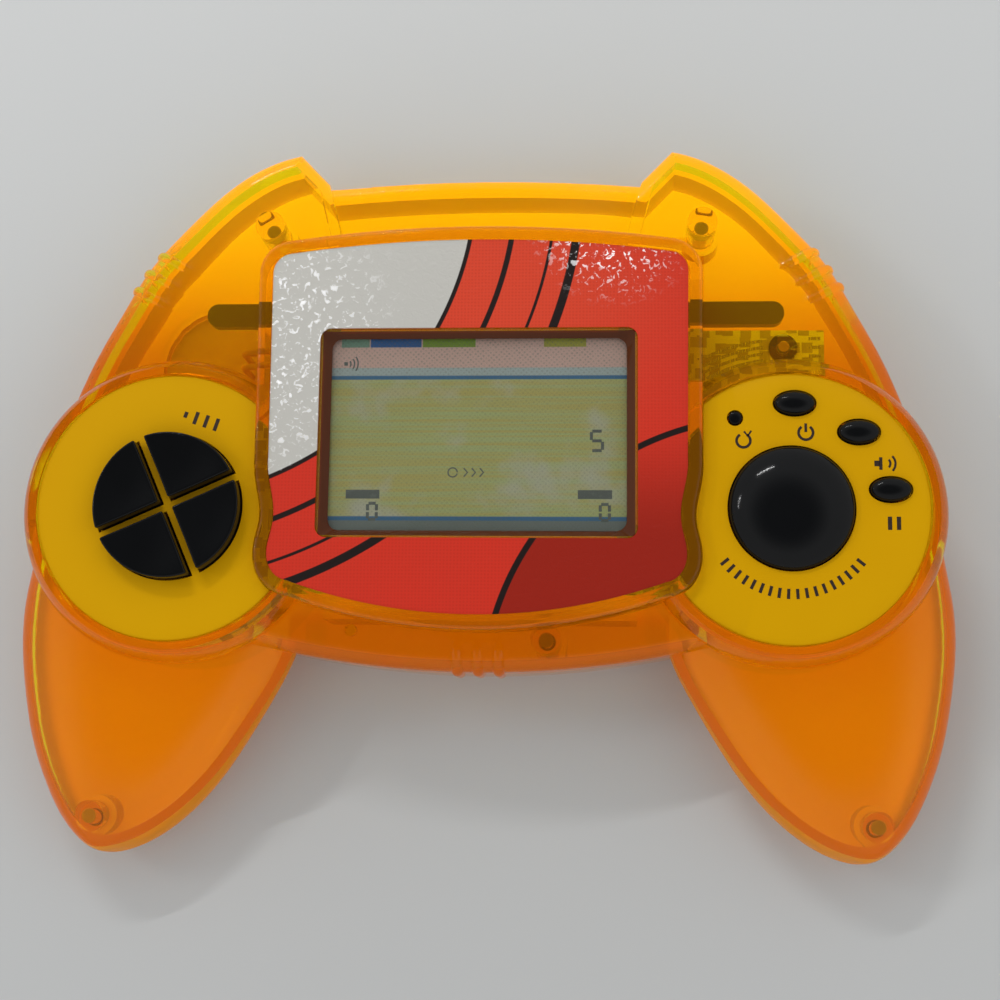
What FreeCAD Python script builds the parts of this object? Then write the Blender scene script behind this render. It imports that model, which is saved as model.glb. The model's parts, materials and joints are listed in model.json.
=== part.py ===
"""Handheld electronic game in a controller-shaped case, modelled in millimetres.

The case lies on its back: +Z is up out of the screen, +Y points to the two horns and
+X to the action-button pod. The origin is the middle of the footprint on the table.
"""
import FreeCAD
import Part
import math
import os

from FreeCAD import Vector

os.makedirs("parts", exist_ok=True)

# Case: wall, heights above the table and edge rounding.
CASE_WALL = 2.0
PARTING_Z = 10.0
SHOULDER_TOP_Z = 18.0
STRIP_TOP_Z = 14.5
EDGE_ROUND = 3.0
STRIP_ROUND = 2.0
REAR_ROUND = 3.5

# Plan outline of the case body, right half, from the horn's tip down the shoulder.
TOP_EDGE_MID_Y = 54.9
HORN_BASE = (26.8, 53.7)
SHOULDER_POINTS = [
    (31.8, 58.9), (38.5, 56.6), (44.6, 52.5), (51.8, 45.4), (57.7, 38.4),
    (61.6, 31.5), (65.2, 24.7), (68.3, 17.7), (71.2, 9.5), (73.3, 2.5), (74.2, -5.0),
]
BODY_UNDER_GRIP = (66.0, -20.0)
BOTTOM_CORNER = (31.2, -26.7)
BOTTOM_EDGE_MID_Y = -29.8
STRIP_FOOT = (24.4, 44.5)
STRIP_INNER_Y = 38.0
STRIP_OVERSHOOT = 6.0

# Grips: station y, inner and outer x, lowest and highest z.
GRIP_STATIONS = [
    (2.0, 38.0, 72.8, 1.6, 15.6),
    (-8.0, 32.6, 76.3, 1.0, 17.2),
    (-18.0, 30.6, 77.7, 0.6, 17.9),
    (-26.0, 31.2, 77.8, 0.3, 18.0),
    (-34.0, 35.0, 76.8, 0.2, 17.6),
    (-42.0, 39.8, 75.1, 0.2, 16.7),
    (-49.0, 44.8, 72.6, 0.4, 15.2),
    (-54.0, 49.7, 70.1, 1.0, 13.4),
    (-57.3, 54.2, 67.5, 2.2, 11.6),
    (-59.1, 58.0, 65.2, 3.9, 9.6),
]
GRIP_TIP = (61.6, -59.85, 6.8)
GRIP_LEAN = 3.2
GRIP_SQUARENESS = 2.6
GRIP_HALF_POINTS = 8

# Round control pods.
POD_X = 50.2
POD_Y = -3.8
POD_RADIUS = 25.3
POD_FOOT_RADIUS = 24.4
POD_SHOULDER_Z = 18.2
POD_RIM_Z = 24.0
POD_RIM_RADIUS = 23.3
POD_BULGE = 0.5
POD_INNER_RADIUS = 23.0
DISC_RADIUS = 21.9
DISC_GAP = 0.15
DISC_THICKNESS = 1.6
DISC_TOP_Z = 23.6
DISC_EDGE_ROUND = 0.3
DRAIN_PLACE = (-20.8, -23.2)
DRAIN_RADIUS = 0.95

# Central plateau with the printed label and the screen window.
LABEL_TOP_MID_Y = 40.4
LABEL_CORNER_TOP = (31.0, 38.2)
LABEL_CORNER_MID = (33.1, 37.2)
LABEL_CORNER_SIDE = (34.0, 35.0)
LABEL_SIDE_POINTS = [
    (33.75, 4.0), (33.6, 1.2), (33.05, -1.6), (32.6, -4.6), (32.85, -7.6),
    (33.45, -10.3), (33.4, -12.7), (32.5, -14.6), (30.3, -15.9),
]
LABEL_BOTTOM_MID_Y = -21.2
LABEL_THICKNESS = 0.3
LABEL_GAP = 0.1
PLATEAU_RIM = 2.4
PLATEAU_TOP_Z = 25.6
PLATEAU_ROUND = 0.8
LABEL_RECESS = 0.5
PLATEAU_TOP_WALL = 1.6

# Screen window and display.
WINDOW_Y = 8.25
WINDOW_WIDTH = 51.5
WINDOW_HEIGHT = 34.3
WINDOW_CORNER = 1.8
SCREEN_WIDTH = 48.2
SCREEN_HEIGHT = 31.7
LENS_MARGIN = 1.8
LENS_THICKNESS = 0.8
GLASS_MARGIN = 2.2
FRONT_GLASS_THICKNESS = 1.1
REAR_GLASS_THICKNESS = 1.0
GLASS_LEDGE = 3.0
FILM_THICKNESS = 0.2
FRAME_WALL = 1.4
FRAME_GAP = 0.2
ZEBRA_WIDTH = 2.0

# Circuit board and what stands on it.
BOARD_THICKNESS = 1.2
BOARD_BOTTOM_Z = 14.2
BOARD_SIDE_MARGIN = 1.9
BOARD_TOP_Y = 35.0
BOARD_BOTTOM_Y = -17.0
BOARD_LOBE_RADIUS = 20.5
BOARD_CORNER = 1.5
BOARD_TAB = (56.8, 18.6, 27.4)
BOARD_NECK_X = (36.2, 52.0)
BOARD_TAB_SCREW = (50.0, 24.2)
BOARD_SIDE_SCREW_YS = {-1: (18.0, -9.0), 1: (-9.0,)}
BOARD_SCREW_RADIUS = 0.9
BOARD_SCREW_ROOM = 0.2
BOARD_SCREW_HEAD_RADIUS = 1.8
BOARD_SCREW_HEAD_HEIGHT = 1.0
BOARD_SCREW_TIP_Z = 17.2
BOARD_SCREW_SPARE = 0.3
BOARD_POST_RADIUS = 2.4
BOARD_POST_GAP = 0.3
STIFFENER_LENGTH = 98.0
STIFFENER_WIDTH = 4.0
STIFFENER_HEIGHT = 2.0
STIFFENER_CORNER = 1.9
STIFFENER_PLACE = (1.5, 30.8)
CHIP_Y = 16.0
CHIP_DEPTH = 1.6
CHIP_SPHERE_RADIUS = 12.0
RESISTOR_COUNT = 5
RESISTOR_X = 10.0
RESISTOR_PITCH = 2.6
RESISTOR_SIZE = (1.2, 3.2, 0.6)
CAPACITOR_X = 16.0
CAPACITOR_RADIUS = 2.0
CAPACITOR_LENGTH = 6.5
CAPACITOR_ROUND = 0.3

# Controls.
BUTTON_TRAVEL = 1.0
BUTTON_GAP = 0.25
BUTTON_FLOAT = 0.3
FLANGE_THICKNESS = 1.0
FLANGE_LIP = 0.6
MAT_THICKNESS = 0.8
MAT_POST_GAP = 0.5
DPAD_MAT_RADIUS = 14.1
ACTION_MAT_RADIUS = 20.0
DPAD_RADIUS = 11.9
DPAD_BAR = 1.7
DPAD_TURN = 24.0
DPAD_RISE = 2.9
DPAD_DISH_RADIUS = 14.0
DPAD_DISH_DEPTH = 0.5
DPAD_DISH_PLACE = 7.4
KEY_EDGE_ROUND = 0.5
DPAD_DOME_RADIUS = 3.0
DOME_SLACK = 0.6
DOME_TAPER = 0.7
DOME_WALL = 0.45
ACTION_RADIUS = 9.9
ACTION_RISE = 3.6
ACTION_CROWN = 3.2
ACTION_DOME_RADIUS = 5.0
SMALL_DOME_RADIUS = 2.2
RESET_DOME_RADIUS = 1.4
OVAL_CROWN = 4.6
RESET_CROWN = 4.0
OVAL_LENGTH = 6.5
OVAL_WIDTH = 3.9
OVAL_RISE = 1.4
OVAL_PLACES = {"power": (0.7, 17.0), "sound": (10.8, 12.3), "pause": (15.6, 3.0)}
RESET_RADIUS = 1.05
RESET_RISE = 0.4
RESET_PLACE = (-8.8, 14.6)

# Cells, their bay and the cover.
CELL_RADIUS = 5.15
CELL_LENGTH = 44.5
CELL_NUB_RADIUS = 1.9
CELL_NUB_LENGTH = 0.9
CELL_ROUND = 0.5
CELL_PITCH = 11.0
CELL_BOTTOM_Z = 2.1
BAY_Y = -9.0
BAY_END_ROOM = 2.5
BAY_SIDE_ROOM = 0.25
BAY_WALL = 1.2
COVER_THICKNESS = 1.8
COVER_OVERLAP = 1.6
COVER_GAP = 0.15
COVER_TONGUE = 1.0
COVER_TONGUE_THICKNESS = 0.9
COVER_TONGUE_LOW_Y = -24.6
COVER_GRIP_Y = -13.0
COVER_GRIP_PITCH = 2.4
COVER_GRIP_HALF = 7.0
COVER_GRIP_DEPTH = 0.5
CONTACT_THICKNESS = 0.4
CONTACT_WALL_GAP = 0.05
CONTACT_TIP_GAP = 0.05
CONTACT_HALF_HEIGHT = 4.0
CONTACT_BOW = 3.0
CONTACT_FOOT = 0.6
CONTACT_SPLIT = 1.0

# Screws that hold the two shells together.
CASE_SCREW_POINTS = [(36.9, 46.3), (-36.9, 46.3), (64.5, -53.6), (-64.5, -53.6), (11.0, -24.2)]
CASE_SCREW_RADIUS = 1.2
CASE_SCREW_HEAD_RADIUS = 2.2
CASE_SCREW_HEAD_HEIGHT = 1.4
CASE_SCREW_LENGTH = 7.5
CASE_SCREW_SEAT_Z = 3.6
CASE_SCREW_ROOM = 0.25
BOSS_MEETING_Z = 7.0
FRONT_BOSS_RADIUS = 2.5
REAR_BOSS_RADIUS = 3.3
PILOT_SPARE = 0.4
SLOT_HALF_WIDTH = 0.2
SLOT_DEPTH = 0.5
SCREW_GAP = 0.03

# Moulded finger ribs on the shoulders and the bottom edge.
RIB_RADIUS = 1.0
RIB_REACH = 7.0
RIB_SINK = 0.35
RIB_PITCH = 3.4
SHOULDER_RIB_Y = 34.9
SHOULDER_RIB_SLOPE = 28.0
BOTTOM_RIB_REACH = 4.0

# Sounder.
SOUNDER_X = -47.0
SOUNDER_Y = 24.0
SOUNDER_RADIUS = 10.0
SOUNDER_THICKNESS = 0.5
SOUND_HOLE_RADIUS = 0.8
SOUND_HOLE_RING = 4.5

CAGE_GAP = 0.3
CAGE_TOP_Z = 4.0

# Wires.
WIRE_RADIUS = 0.55
WIRE_BEND = 1.5
WIRE_GAP = 0.15
WIRE_SPACING = 1.2
SOUNDER_WIRE_MARGIN = 2.0
WIRE_EXIT_Z = 11.4

# How far cutting shapes run past a face, and a distance beyond the whole case.
PAST = 1.0
FAR = 100.0
CURVE_POINTS = 21

# Levels worked out from the sizes above.
POD_FLOOR_Z = DISC_TOP_Z - DISC_THICKNESS
POD_CEILING_Z = POD_FLOOR_Z - CASE_WALL
LABEL_FLOOR_Z = PLATEAU_TOP_Z - LABEL_RECESS
PLATEAU_CEILING_Z = LABEL_FLOOR_Z - PLATEAU_TOP_WALL
LENS_BOTTOM_Z = PLATEAU_CEILING_Z - LENS_THICKNESS
FRONT_GLASS_BOTTOM_Z = LENS_BOTTOM_Z - FRONT_GLASS_THICKNESS
REAR_GLASS_BOTTOM_Z = FRONT_GLASS_BOTTOM_Z - REAR_GLASS_THICKNESS
FILM_BOTTOM_Z = REAR_GLASS_BOTTOM_Z - FILM_THICKNESS
BOARD_TOP_Z = BOARD_BOTTOM_Z + BOARD_THICKNESS
MAT_TOP_Z = BOARD_TOP_Z + MAT_THICKNESS
FLANGE_TOP_Z = POD_CEILING_Z - BUTTON_FLOAT
FLANGE_BOTTOM_Z = FLANGE_TOP_Z - FLANGE_THICKNESS
CELL_Z = CELL_BOTTOM_Z + CELL_RADIUS
BAY_CEILING_Z = CELL_BOTTOM_Z + 2 * CELL_RADIUS + BAY_SIDE_ROOM
BAY_HALF_LENGTH = CELL_LENGTH / 2 + BAY_END_ROOM
BAY_HALF_WIDTH = CELL_PITCH / 2 + CELL_RADIUS + BAY_SIDE_ROOM
COVER_HALF_WIDTH = BAY_HALF_LENGTH + COVER_OVERLAP
COVER_TOP_Y = BAY_Y + BAY_HALF_WIDTH + COVER_OVERLAP
COVER_LEVEL_Z = COVER_THICKNESS + COVER_GAP
GLASS_HALF_WIDTH = SCREEN_WIDTH / 2 + GLASS_MARGIN
FRAME_HALF_WIDTH = GLASS_HALF_WIDTH + FRAME_GAP + FRAME_WALL

# The board's side screws stand just clear of both the display frame and the cell bay.
BESIDE_FRAME_X = FRAME_HALF_WIDTH + BOARD_POST_GAP + BOARD_POST_RADIUS
BESIDE_BAY_X = BAY_HALF_LENGTH + BAY_WALL + BOARD_POST_GAP + BOARD_SCREW_HEAD_RADIUS
BOARD_SIDE_SCREW_X = max(BESIDE_FRAME_X, BESIDE_BAY_X)
BOARD_SCREW_POINTS = [BOARD_TAB_SCREW] + [
    (side * BOARD_SIDE_SCREW_X, y) for side, ys in BOARD_SIDE_SCREW_YS.items() for y in ys
]
BOARD_HALF_WIDTH = BOARD_SIDE_SCREW_X + BOARD_SIDE_MARGIN


def save(shape, name):
    """Write one sub-part."""
    shape.exportStep("parts/" + name + ".step")
    print(name, len(shape.Solids), round(shape.Volume, 1))


def mirrored(points):
    """The same points on the left side, in reverse order."""
    return [(-x, y) for x, y in reversed(points)]


def flat(points, z=0.0):
    """Plan points as vectors at height z."""
    return [Vector(x, y, z) for x, y in points]


def curve(points):
    """A smooth curve through plan points."""
    spline = Part.BSplineCurve()
    spline.interpolate(flat(points))
    return spline.toShape()


def line(start, end):
    """A straight edge between plan points."""
    return Part.makeLine(*flat([start, end]))


def arc(start, middle, end):
    """An arc through three plan points."""
    return Part.Arc(*flat([start, middle, end])).toShape()


def closed_face(edges):
    """The face inside a closed loop of edges."""
    return Part.Face(Part.Wire(Part.__sortEdges__(edges)))


def smooth(edge):
    """An edge as it is if straight or round, or else as a curve through points along it."""
    if edge.Curve.TypeId in ("Part::GeomLine", "Part::GeomCircle"):
        return edge
    spline = Part.BSplineCurve()
    spline.interpolate(edge.discretize(CURVE_POINTS))
    return spline.toShape()


def grown(face, distance):
    """A face made larger all round, or smaller where distance is negative."""
    if abs(distance) < 1e-6:
        return face
    join = 0 if distance > 0 else 2
    outline = face.makeOffset2D(distance, join, False, False, True).OuterWire
    return closed_face([smooth(edge) for edge in outline.Edges])


def prism(face, low, high):
    """A plan face standing between two heights."""
    base = face.copy()
    base.translate(Vector(0, 0, low))
    return base.extrude(Vector(0, 0, high - low))


def box(x_low, x_high, y_low, y_high, z_low, z_high):
    """A box between its corners."""
    corner = Vector(x_low, y_low, z_low)
    return Part.makeBox(x_high - x_low, y_high - y_low, z_high - z_low, corner)


def cylinder(x, y, radius, low, high):
    """An upright cylinder."""
    return Part.makeCylinder(radius, high - low, Vector(x, y, low))


def upright(points):
    """Points (radius, z) as vectors in the plane y = 0."""
    return [Vector(r, 0, z) for r, z in points]


def upright_line(start, end):
    """A straight edge between (radius, z) points."""
    return Part.makeLine(*upright([start, end]))


def turned(profile, x, y):
    """A solid turned from (radius, z) points about an upright axis."""
    points = [Vector(r, 0, z) for r, z in profile + profile[:1]]
    solid = Part.Face(Part.makePolygon(points)).revolve(Vector(), Vector(0, 0, 1), 360)
    solid.translate(Vector(x, y, 0))
    return solid


def rounded_rectangle(width, height, corner, x=0.0, y=0.0):
    """A rectangle face with round corners, centred on (x, y)."""
    half_w = width / 2
    half_h = height / 2
    slant = corner * (1 - math.sqrt(0.5))
    edges = []
    for sx, sy in ((1, 1), (1, -1), (-1, -1), (-1, 1)):
        ends = [
            (x + sx * (half_w - corner), y + sy * half_h),
            (x + sx * (half_w - slant), y + sy * (half_h - slant)),
            (x + sx * half_w, y + sy * (half_h - corner)),
        ]
        edges.append(arc(*ends))
    for side in (1, -1):
        level_y = y + side * half_h
        side_x = x + side * half_w
        edges.append(line((x - half_w + corner, level_y), (x + half_w - corner, level_y)))
        edges.append(line((side_x, y - half_h + corner), (side_x, y + half_h - corner)))
    return closed_face(edges)


def joined(shapes):
    """One solid from overlapping ones."""
    return shapes[0].multiFuse(shapes[1:]).removeSplitter()


def both_sides(shape):
    """A right-hand shape with its mirror image."""
    return [shape, shape.mirror(Vector(), Vector(1, 0, 0))]


# Outlines in plan.

def body_face():
    """Case body without grips: top edge, horns, shoulders and the bottom edge."""
    right = SHOULDER_POINTS
    left = mirrored(right)
    horn_left = (-HORN_BASE[0], HORN_BASE[1])
    corner_left = (-BOTTOM_CORNER[0], BOTTOM_CORNER[1])
    under_left = (-BODY_UNDER_GRIP[0], BODY_UNDER_GRIP[1])
    return closed_face([
        arc(horn_left, (0, TOP_EDGE_MID_Y), HORN_BASE),
        line(HORN_BASE, right[0]),
        curve(right),
        line(right[-1], BODY_UNDER_GRIP),
        line(BODY_UNDER_GRIP, BOTTOM_CORNER),
        arc(BOTTOM_CORNER, (0, BOTTOM_EDGE_MID_Y), corner_left),
        line(corner_left, under_left),
        line(under_left, left[0]),
        curve(left),
        line(left[-1], horn_left),
    ])


def label_face():
    """Outline of the printed label, with a hollow in each side where a pod comes close."""
    low_right = LABEL_SIDE_POINTS[-1]
    right = [
        arc(LABEL_CORNER_TOP, LABEL_CORNER_MID, LABEL_CORNER_SIDE),
        line(LABEL_CORNER_SIDE, LABEL_SIDE_POINTS[0]),
        curve(LABEL_SIDE_POINTS),
    ]
    left = [edge.mirror(Vector(), Vector(1, 0, 0)) for edge in right]
    top_left = (-LABEL_CORNER_TOP[0], LABEL_CORNER_TOP[1])
    low_left = (-low_right[0], low_right[1])
    top = arc(top_left, (0, LABEL_TOP_MID_Y), LABEL_CORNER_TOP)
    bottom = arc(low_right, (0, LABEL_BOTTOM_MID_Y), low_left)
    return closed_face([top] + right + [bottom] + left)


def strip_face(inset):
    """The lowered strip between the horns, widened by the wall for the inside."""
    foot_x = STRIP_FOOT[0] + inset
    base_x = HORN_BASE[0] + inset
    far_y = SHOULDER_POINTS[0][1] + STRIP_OVERSHOOT
    far_x = base_x + (base_x - foot_x) * (far_y - HORN_BASE[1]) / (HORN_BASE[1] - STRIP_FOOT[1])
    low_y = STRIP_INNER_Y - inset
    corners = [
        (foot_x, low_y), (foot_x, STRIP_FOOT[1]), (base_x, HORN_BASE[1]), (far_x, far_y),
        (-far_x, far_y), (-base_x, HORN_BASE[1]), (-foot_x, STRIP_FOOT[1]), (-foot_x, low_y),
    ]
    return Part.Face(Part.makePolygon(flat(corners + corners[:1])))


def grip_point(station, inset, angle):
    """A point on one upright slice of a grip, at an angle up from its outer side."""
    y, x_in, x_out, z_low, z_high = station
    half_x = (x_out - x_in) / 2 - inset
    half_z = (z_high - z_low) / 2 - inset
    power = 2 / GRIP_SQUARENESS
    across = math.copysign(abs(math.cos(angle)) ** power, math.cos(angle))
    up = math.copysign(abs(math.sin(angle)) ** power, math.sin(angle))
    lean = GRIP_LEAN * max(up, 0) * (1 - across) / 2
    return Vector((x_in + x_out) / 2 + half_x * across + lean, y, (z_low + z_high) / 2 + half_z * up)


def grip_section(station, inset):
    """One upright slice of a grip: a squarish oval whose inner side leans out at the top."""
    edges = []
    for half in range(2):
        steps = range(half * GRIP_HALF_POINTS, (half + 1) * GRIP_HALF_POINTS + 1)
        angles = [math.pi * step / GRIP_HALF_POINTS for step in steps]
        spline = Part.BSplineCurve()
        spline.interpolate([grip_point(station, inset, angle) for angle in angles])
        edges.append(spline.toShape())
    return Part.Wire(edges)


def grip(inset):
    """The right-hand grip, or its inside where inset is the wall."""
    stations = [s for s in GRIP_STATIONS if (s[4] - s[3]) / 2 > 1.9 * inset]
    sections = [grip_section(s, inset) for s in stations]
    if inset == 0:
        sections.append(Part.Vertex(*GRIP_TIP))
    return Part.makeLoft(sections, True, False)


def body(inset):
    """Case body between the grips, solid, made smaller all round by inset."""
    outline = grown(body_face(), -inset)
    solid = prism(outline, inset, SHOULDER_TOP_Z - inset)
    return solid.cut(prism(strip_face(inset), STRIP_TOP_Z - inset, SHOULDER_TOP_Z + PAST))


# Case volumes: each is the outside where inset is 0 and the hollow inside where it is the wall.

def level_edges(shape, z, keep):
    """Edges that lie flat at height z and pass the test on their middle point."""
    found = []
    for edge in shape.Edges:
        bounds = edge.BoundBox
        if abs(bounds.ZMin - z) < 1e-4 and abs(bounds.ZMax - z) < 1e-4 and keep(edge.CenterOfMass):
            found.append(edge)
    return found


def rounded_body():
    """The body with its rear, shoulder, bottom and strip edges rounded."""
    solid = body(0)
    horn_foot_x = HORN_BASE[0] + 1
    upper = level_edges(solid, SHOULDER_TOP_Z, lambda c: c.y > POD_Y and abs(c.x) > horn_foot_x)
    lower = level_edges(solid, SHOULDER_TOP_Z, lambda c: c.y < BOTTOM_CORNER[1] - 1)
    solid = solid.makeFillet(EDGE_ROUND, upper + lower)
    strip = level_edges(solid, STRIP_TOP_Z, lambda c: c.y > HORN_BASE[1] - 1)
    solid = solid.makeFillet(STRIP_ROUND, strip)
    rear = level_edges(solid, 0, lambda c: True)
    return solid.makeFillet(REAR_ROUND, rear)


def pod(inset):
    """Right-hand pod: a short drum with a domed rim, standing on the parting plane."""
    if inset:
        return cylinder(POD_X, POD_Y, POD_INNER_RADIUS, PARTING_Z, POD_CEILING_Z)
    bulge_radius = (POD_RADIUS + POD_RIM_RADIUS) / 2 + POD_BULGE
    rim_mid = (bulge_radius, (POD_SHOULDER_Z + POD_RIM_Z) / 2 + POD_BULGE)
    corners = [(0, PARTING_Z), (POD_FOOT_RADIUS, PARTING_Z), (POD_RADIUS, POD_SHOULDER_Z)]
    top = [(POD_RIM_RADIUS, POD_RIM_Z), (0, POD_RIM_Z)]
    edges = [upright_line(a, b) for a, b in zip(corners, corners[1:])]
    edges.append(Part.Arc(*upright([corners[-1], rim_mid, top[0]])).toShape())
    edges.append(upright_line(*top))
    edges.append(upright_line(top[1], corners[0]))
    drum = closed_face(edges).revolve(Vector(), Vector(0, 0, 1), 360)
    drum.translate(Vector(POD_X, POD_Y, 0))
    return drum


def plateau(inset):
    """Raised middle that carries the label, from the parting plane to its rim."""
    outline = grown(label_face(), PLATEAU_RIM - inset)
    if inset:
        return prism(outline, PARTING_Z, PLATEAU_CEILING_Z)
    solid = prism(outline, PARTING_Z, PLATEAU_TOP_Z)
    return solid.makeFillet(PLATEAU_ROUND, level_edges(solid, PLATEAU_TOP_Z, lambda c: True))


def case_outside():
    """The whole case as one solid lump."""
    return joined([rounded_body()] + both_sides(grip(0)) + both_sides(pod(0)) + [plateau(0)])


def case_within(wall):
    """Everything deeper in the case than the given wall, as one solid lump."""
    return joined([body(wall)] + both_sides(grip(wall)) + both_sides(pod(wall)) + [plateau(wall)])


OUTSIDE = case_outside()
INSIDE = case_within(CASE_WALL)
ROOTING = case_within(CASE_WALL / 2)


# Outlines shared by a control, its hole and its flange.

def quadrant_face(turn, margin):
    """One quarter of the direction pad, made larger or smaller all round by margin."""
    half_bar = DPAD_BAR / 2 - margin
    radius = DPAD_RADIUS + margin
    reach = math.sqrt(radius ** 2 - half_bar ** 2)
    diagonal = radius * math.sqrt(0.5)
    face = closed_face([
        line((half_bar, half_bar), (reach, half_bar)),
        arc((reach, half_bar), (diagonal, diagonal), (half_bar, reach)),
        line((half_bar, reach), (half_bar, half_bar)),
    ])
    face.rotate(Vector(), Vector(0, 0, 1), turn)
    face.translate(Vector(-POD_X, POD_Y, 0))
    return face


def round_face(place, radius):
    """A disc face at a place on the right-hand pod."""
    centre = Vector(POD_X + place[0], POD_Y + place[1], 0)
    return Part.Face(Part.Wire(Part.makeCircle(radius, centre)))


def oval_face(place, margin):
    """An oval at a place on the right-hand pod, made larger all round by margin."""
    centre = Vector(POD_X + place[0], POD_Y + place[1], 0)
    oval = Part.Ellipse(centre, OVAL_LENGTH / 2 + margin, OVAL_WIDTH / 2 + margin)
    return Part.Face(Part.Wire(oval.toShape()))


DPAD_TURNS = {
    "up": DPAD_TURN, "left": DPAD_TURN + 90, "down": DPAD_TURN + 180, "right": DPAD_TURN + 270,
}
MIDDLE = (0, 0)


def control_faces(margin):
    """Every control's outline with the given margin: left pod, then right pod."""
    left = [quadrant_face(turn, margin) for turn in DPAD_TURNS.values()]
    right = [oval_face(place, margin) for place in OVAL_PLACES.values()]
    right.append(round_face(MIDDLE, ACTION_RADIUS + margin))
    right.append(round_face(RESET_PLACE, RESET_RADIUS + margin))
    return left, right


# Case shells.

def disc_seat():
    """The round recess in each pod that takes the coloured disc."""
    recess = cylinder(POD_X, POD_Y, DISC_RADIUS + DISC_GAP, POD_FLOOR_Z, POD_RIM_Z + 1)
    return [part.cut(plateau(0)) for part in both_sides(recess)]


def window_opening():
    """The screen opening, narrowing from the label down to the lens."""
    upper = rounded_rectangle(WINDOW_WIDTH, WINDOW_HEIGHT, WINDOW_CORNER, 0, WINDOW_Y)
    lower = rounded_rectangle(SCREEN_WIDTH, SCREEN_HEIGHT, WINDOW_CORNER, 0, WINDOW_Y)
    upper.translate(Vector(0, 0, LABEL_FLOOR_Z))
    lower.translate(Vector(0, 0, PLATEAU_CEILING_Z))
    return Part.makeLoft([upper.OuterWire, lower.OuterWire], True, True)


def shoulder_edge_x(y):
    """Where the shoulder's outline crosses a given y."""
    edge = curve(SHOULDER_POINTS)
    low, high = edge.ParameterRange
    for _ in range(40):
        middle = (low + high) / 2
        if edge.valueAt(middle).y > y:
            low = middle
        else:
            high = middle
    return edge.valueAt(low).x


def finger_rib(x, y, inward_x, inward_y, reach):
    """A round rib that climbs the case wall, turns over its edge and fades into the top."""
    inward = Vector(inward_x, inward_y, 0)
    foot = Vector(x, y, PARTING_Z) + inward * RIB_SINK
    bend = Vector(foot.x, foot.y, SHOULDER_TOP_Z - RIB_SINK - EDGE_ROUND)
    crown = bend + inward * EDGE_ROUND + Vector(0, 0, EDGE_ROUND)
    turn_centre = bend + inward * EDGE_ROUND
    elbow = turn_centre + (Vector(0, 0, 1) - inward) * (EDGE_ROUND * math.sqrt(0.5))
    end = crown + inward * reach + Vector(0, 0, -RIB_RADIUS)
    path = Part.Wire([
        Part.makeLine(foot, bend),
        Part.Arc(bend, elbow, crown).toShape(),
        Part.makeLine(crown, end),
    ])
    ring = Part.Wire(Part.makeCircle(RIB_RADIUS, foot, Vector(0, 0, 1)))
    return path.makePipeShell([ring], True, False)


def finger_ribs():
    """Three ribs on each shoulder and three on the bottom edge."""
    slope = math.radians(SHOULDER_RIB_SLOPE)
    ribs = []
    for step in range(3):
        y = SHOULDER_RIB_Y + step * RIB_PITCH * math.cos(slope)
        x = shoulder_edge_x(y)
        ribs += both_sides(finger_rib(x, y, -math.cos(slope), -math.sin(slope), RIB_REACH))
    for step in (-1, 0, 1):
        ribs.append(finger_rib(step * RIB_PITCH, BOTTOM_EDGE_MID_Y, 0, 1, BOTTOM_RIB_REACH))
    return ribs


def front_bosses():
    """Posts for the case screws and the board screws, rooted in the case ceiling."""
    top_z = PLATEAU_CEILING_Z
    posts = [cylinder(x, y, FRONT_BOSS_RADIUS, BOSS_MEETING_Z, top_z) for x, y in CASE_SCREW_POINTS]
    posts += [cylinder(x, y, BOARD_POST_RADIUS, BOARD_TOP_Z, top_z) for x, y in BOARD_SCREW_POINTS]
    return [post.common(ROOTING) for post in posts]


def front_shell():
    """Clear front half: horns, pods, plateau, window and control holes."""
    shell = OUTSIDE.cut(INSIDE).common(box(-FAR, FAR, -FAR, FAR, PARTING_Z, FAR))
    ribs = [rib.cut(INSIDE).common(box(-FAR, FAR, -FAR, FAR, PARTING_Z, FAR)) for rib in finger_ribs()]
    shell = shell.multiFuse(front_bosses() + ribs)
    cuts = disc_seat()
    cuts.append(prism(grown(label_face(), LABEL_GAP), LABEL_FLOOR_Z, PLATEAU_TOP_Z + PAST))
    cuts.append(window_opening())
    left, right = control_faces(BUTTON_GAP)
    cuts += [prism(face, POD_CEILING_Z - PAST, POD_RIM_Z + PAST) for face in left + right]
    pilot = CASE_SCREW_RADIUS + SCREW_GAP
    tip_z = CASE_SCREW_SEAT_Z + CASE_SCREW_LENGTH + PILOT_SPARE
    cuts += [cylinder(x, y, pilot, BOSS_MEETING_Z - PAST, tip_z) for x, y in CASE_SCREW_POINTS]
    board_pilot = BOARD_SCREW_RADIUS + SCREW_GAP
    tip_z = BOARD_SCREW_TIP_Z + BOARD_SCREW_SPARE
    cuts += [cylinder(x, y, board_pilot, BOARD_TOP_Z - PAST, tip_z) for x, y in BOARD_SCREW_POINTS]
    drain_low = SHOULDER_TOP_Z - CASE_WALL - PAST
    cuts.append(cylinder(*DRAIN_PLACE, DRAIN_RADIUS, drain_low, SHOULDER_TOP_Z + PAST))
    return shell.cut(cuts)


def bay_walls():
    """Box that holds the two cells, open below."""
    length = BAY_HALF_LENGTH + BAY_WALL
    width = BAY_HALF_WIDTH + BAY_WALL
    top_z = BAY_CEILING_Z + BAY_WALL
    outer = box(-length, length, BAY_Y - width, BAY_Y + width, COVER_LEVEL_Z, top_z)
    length -= BAY_WALL
    width -= BAY_WALL
    inner = box(-length, length, BAY_Y - width, BAY_Y + width, 0, BAY_CEILING_Z)
    return outer, inner


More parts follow.
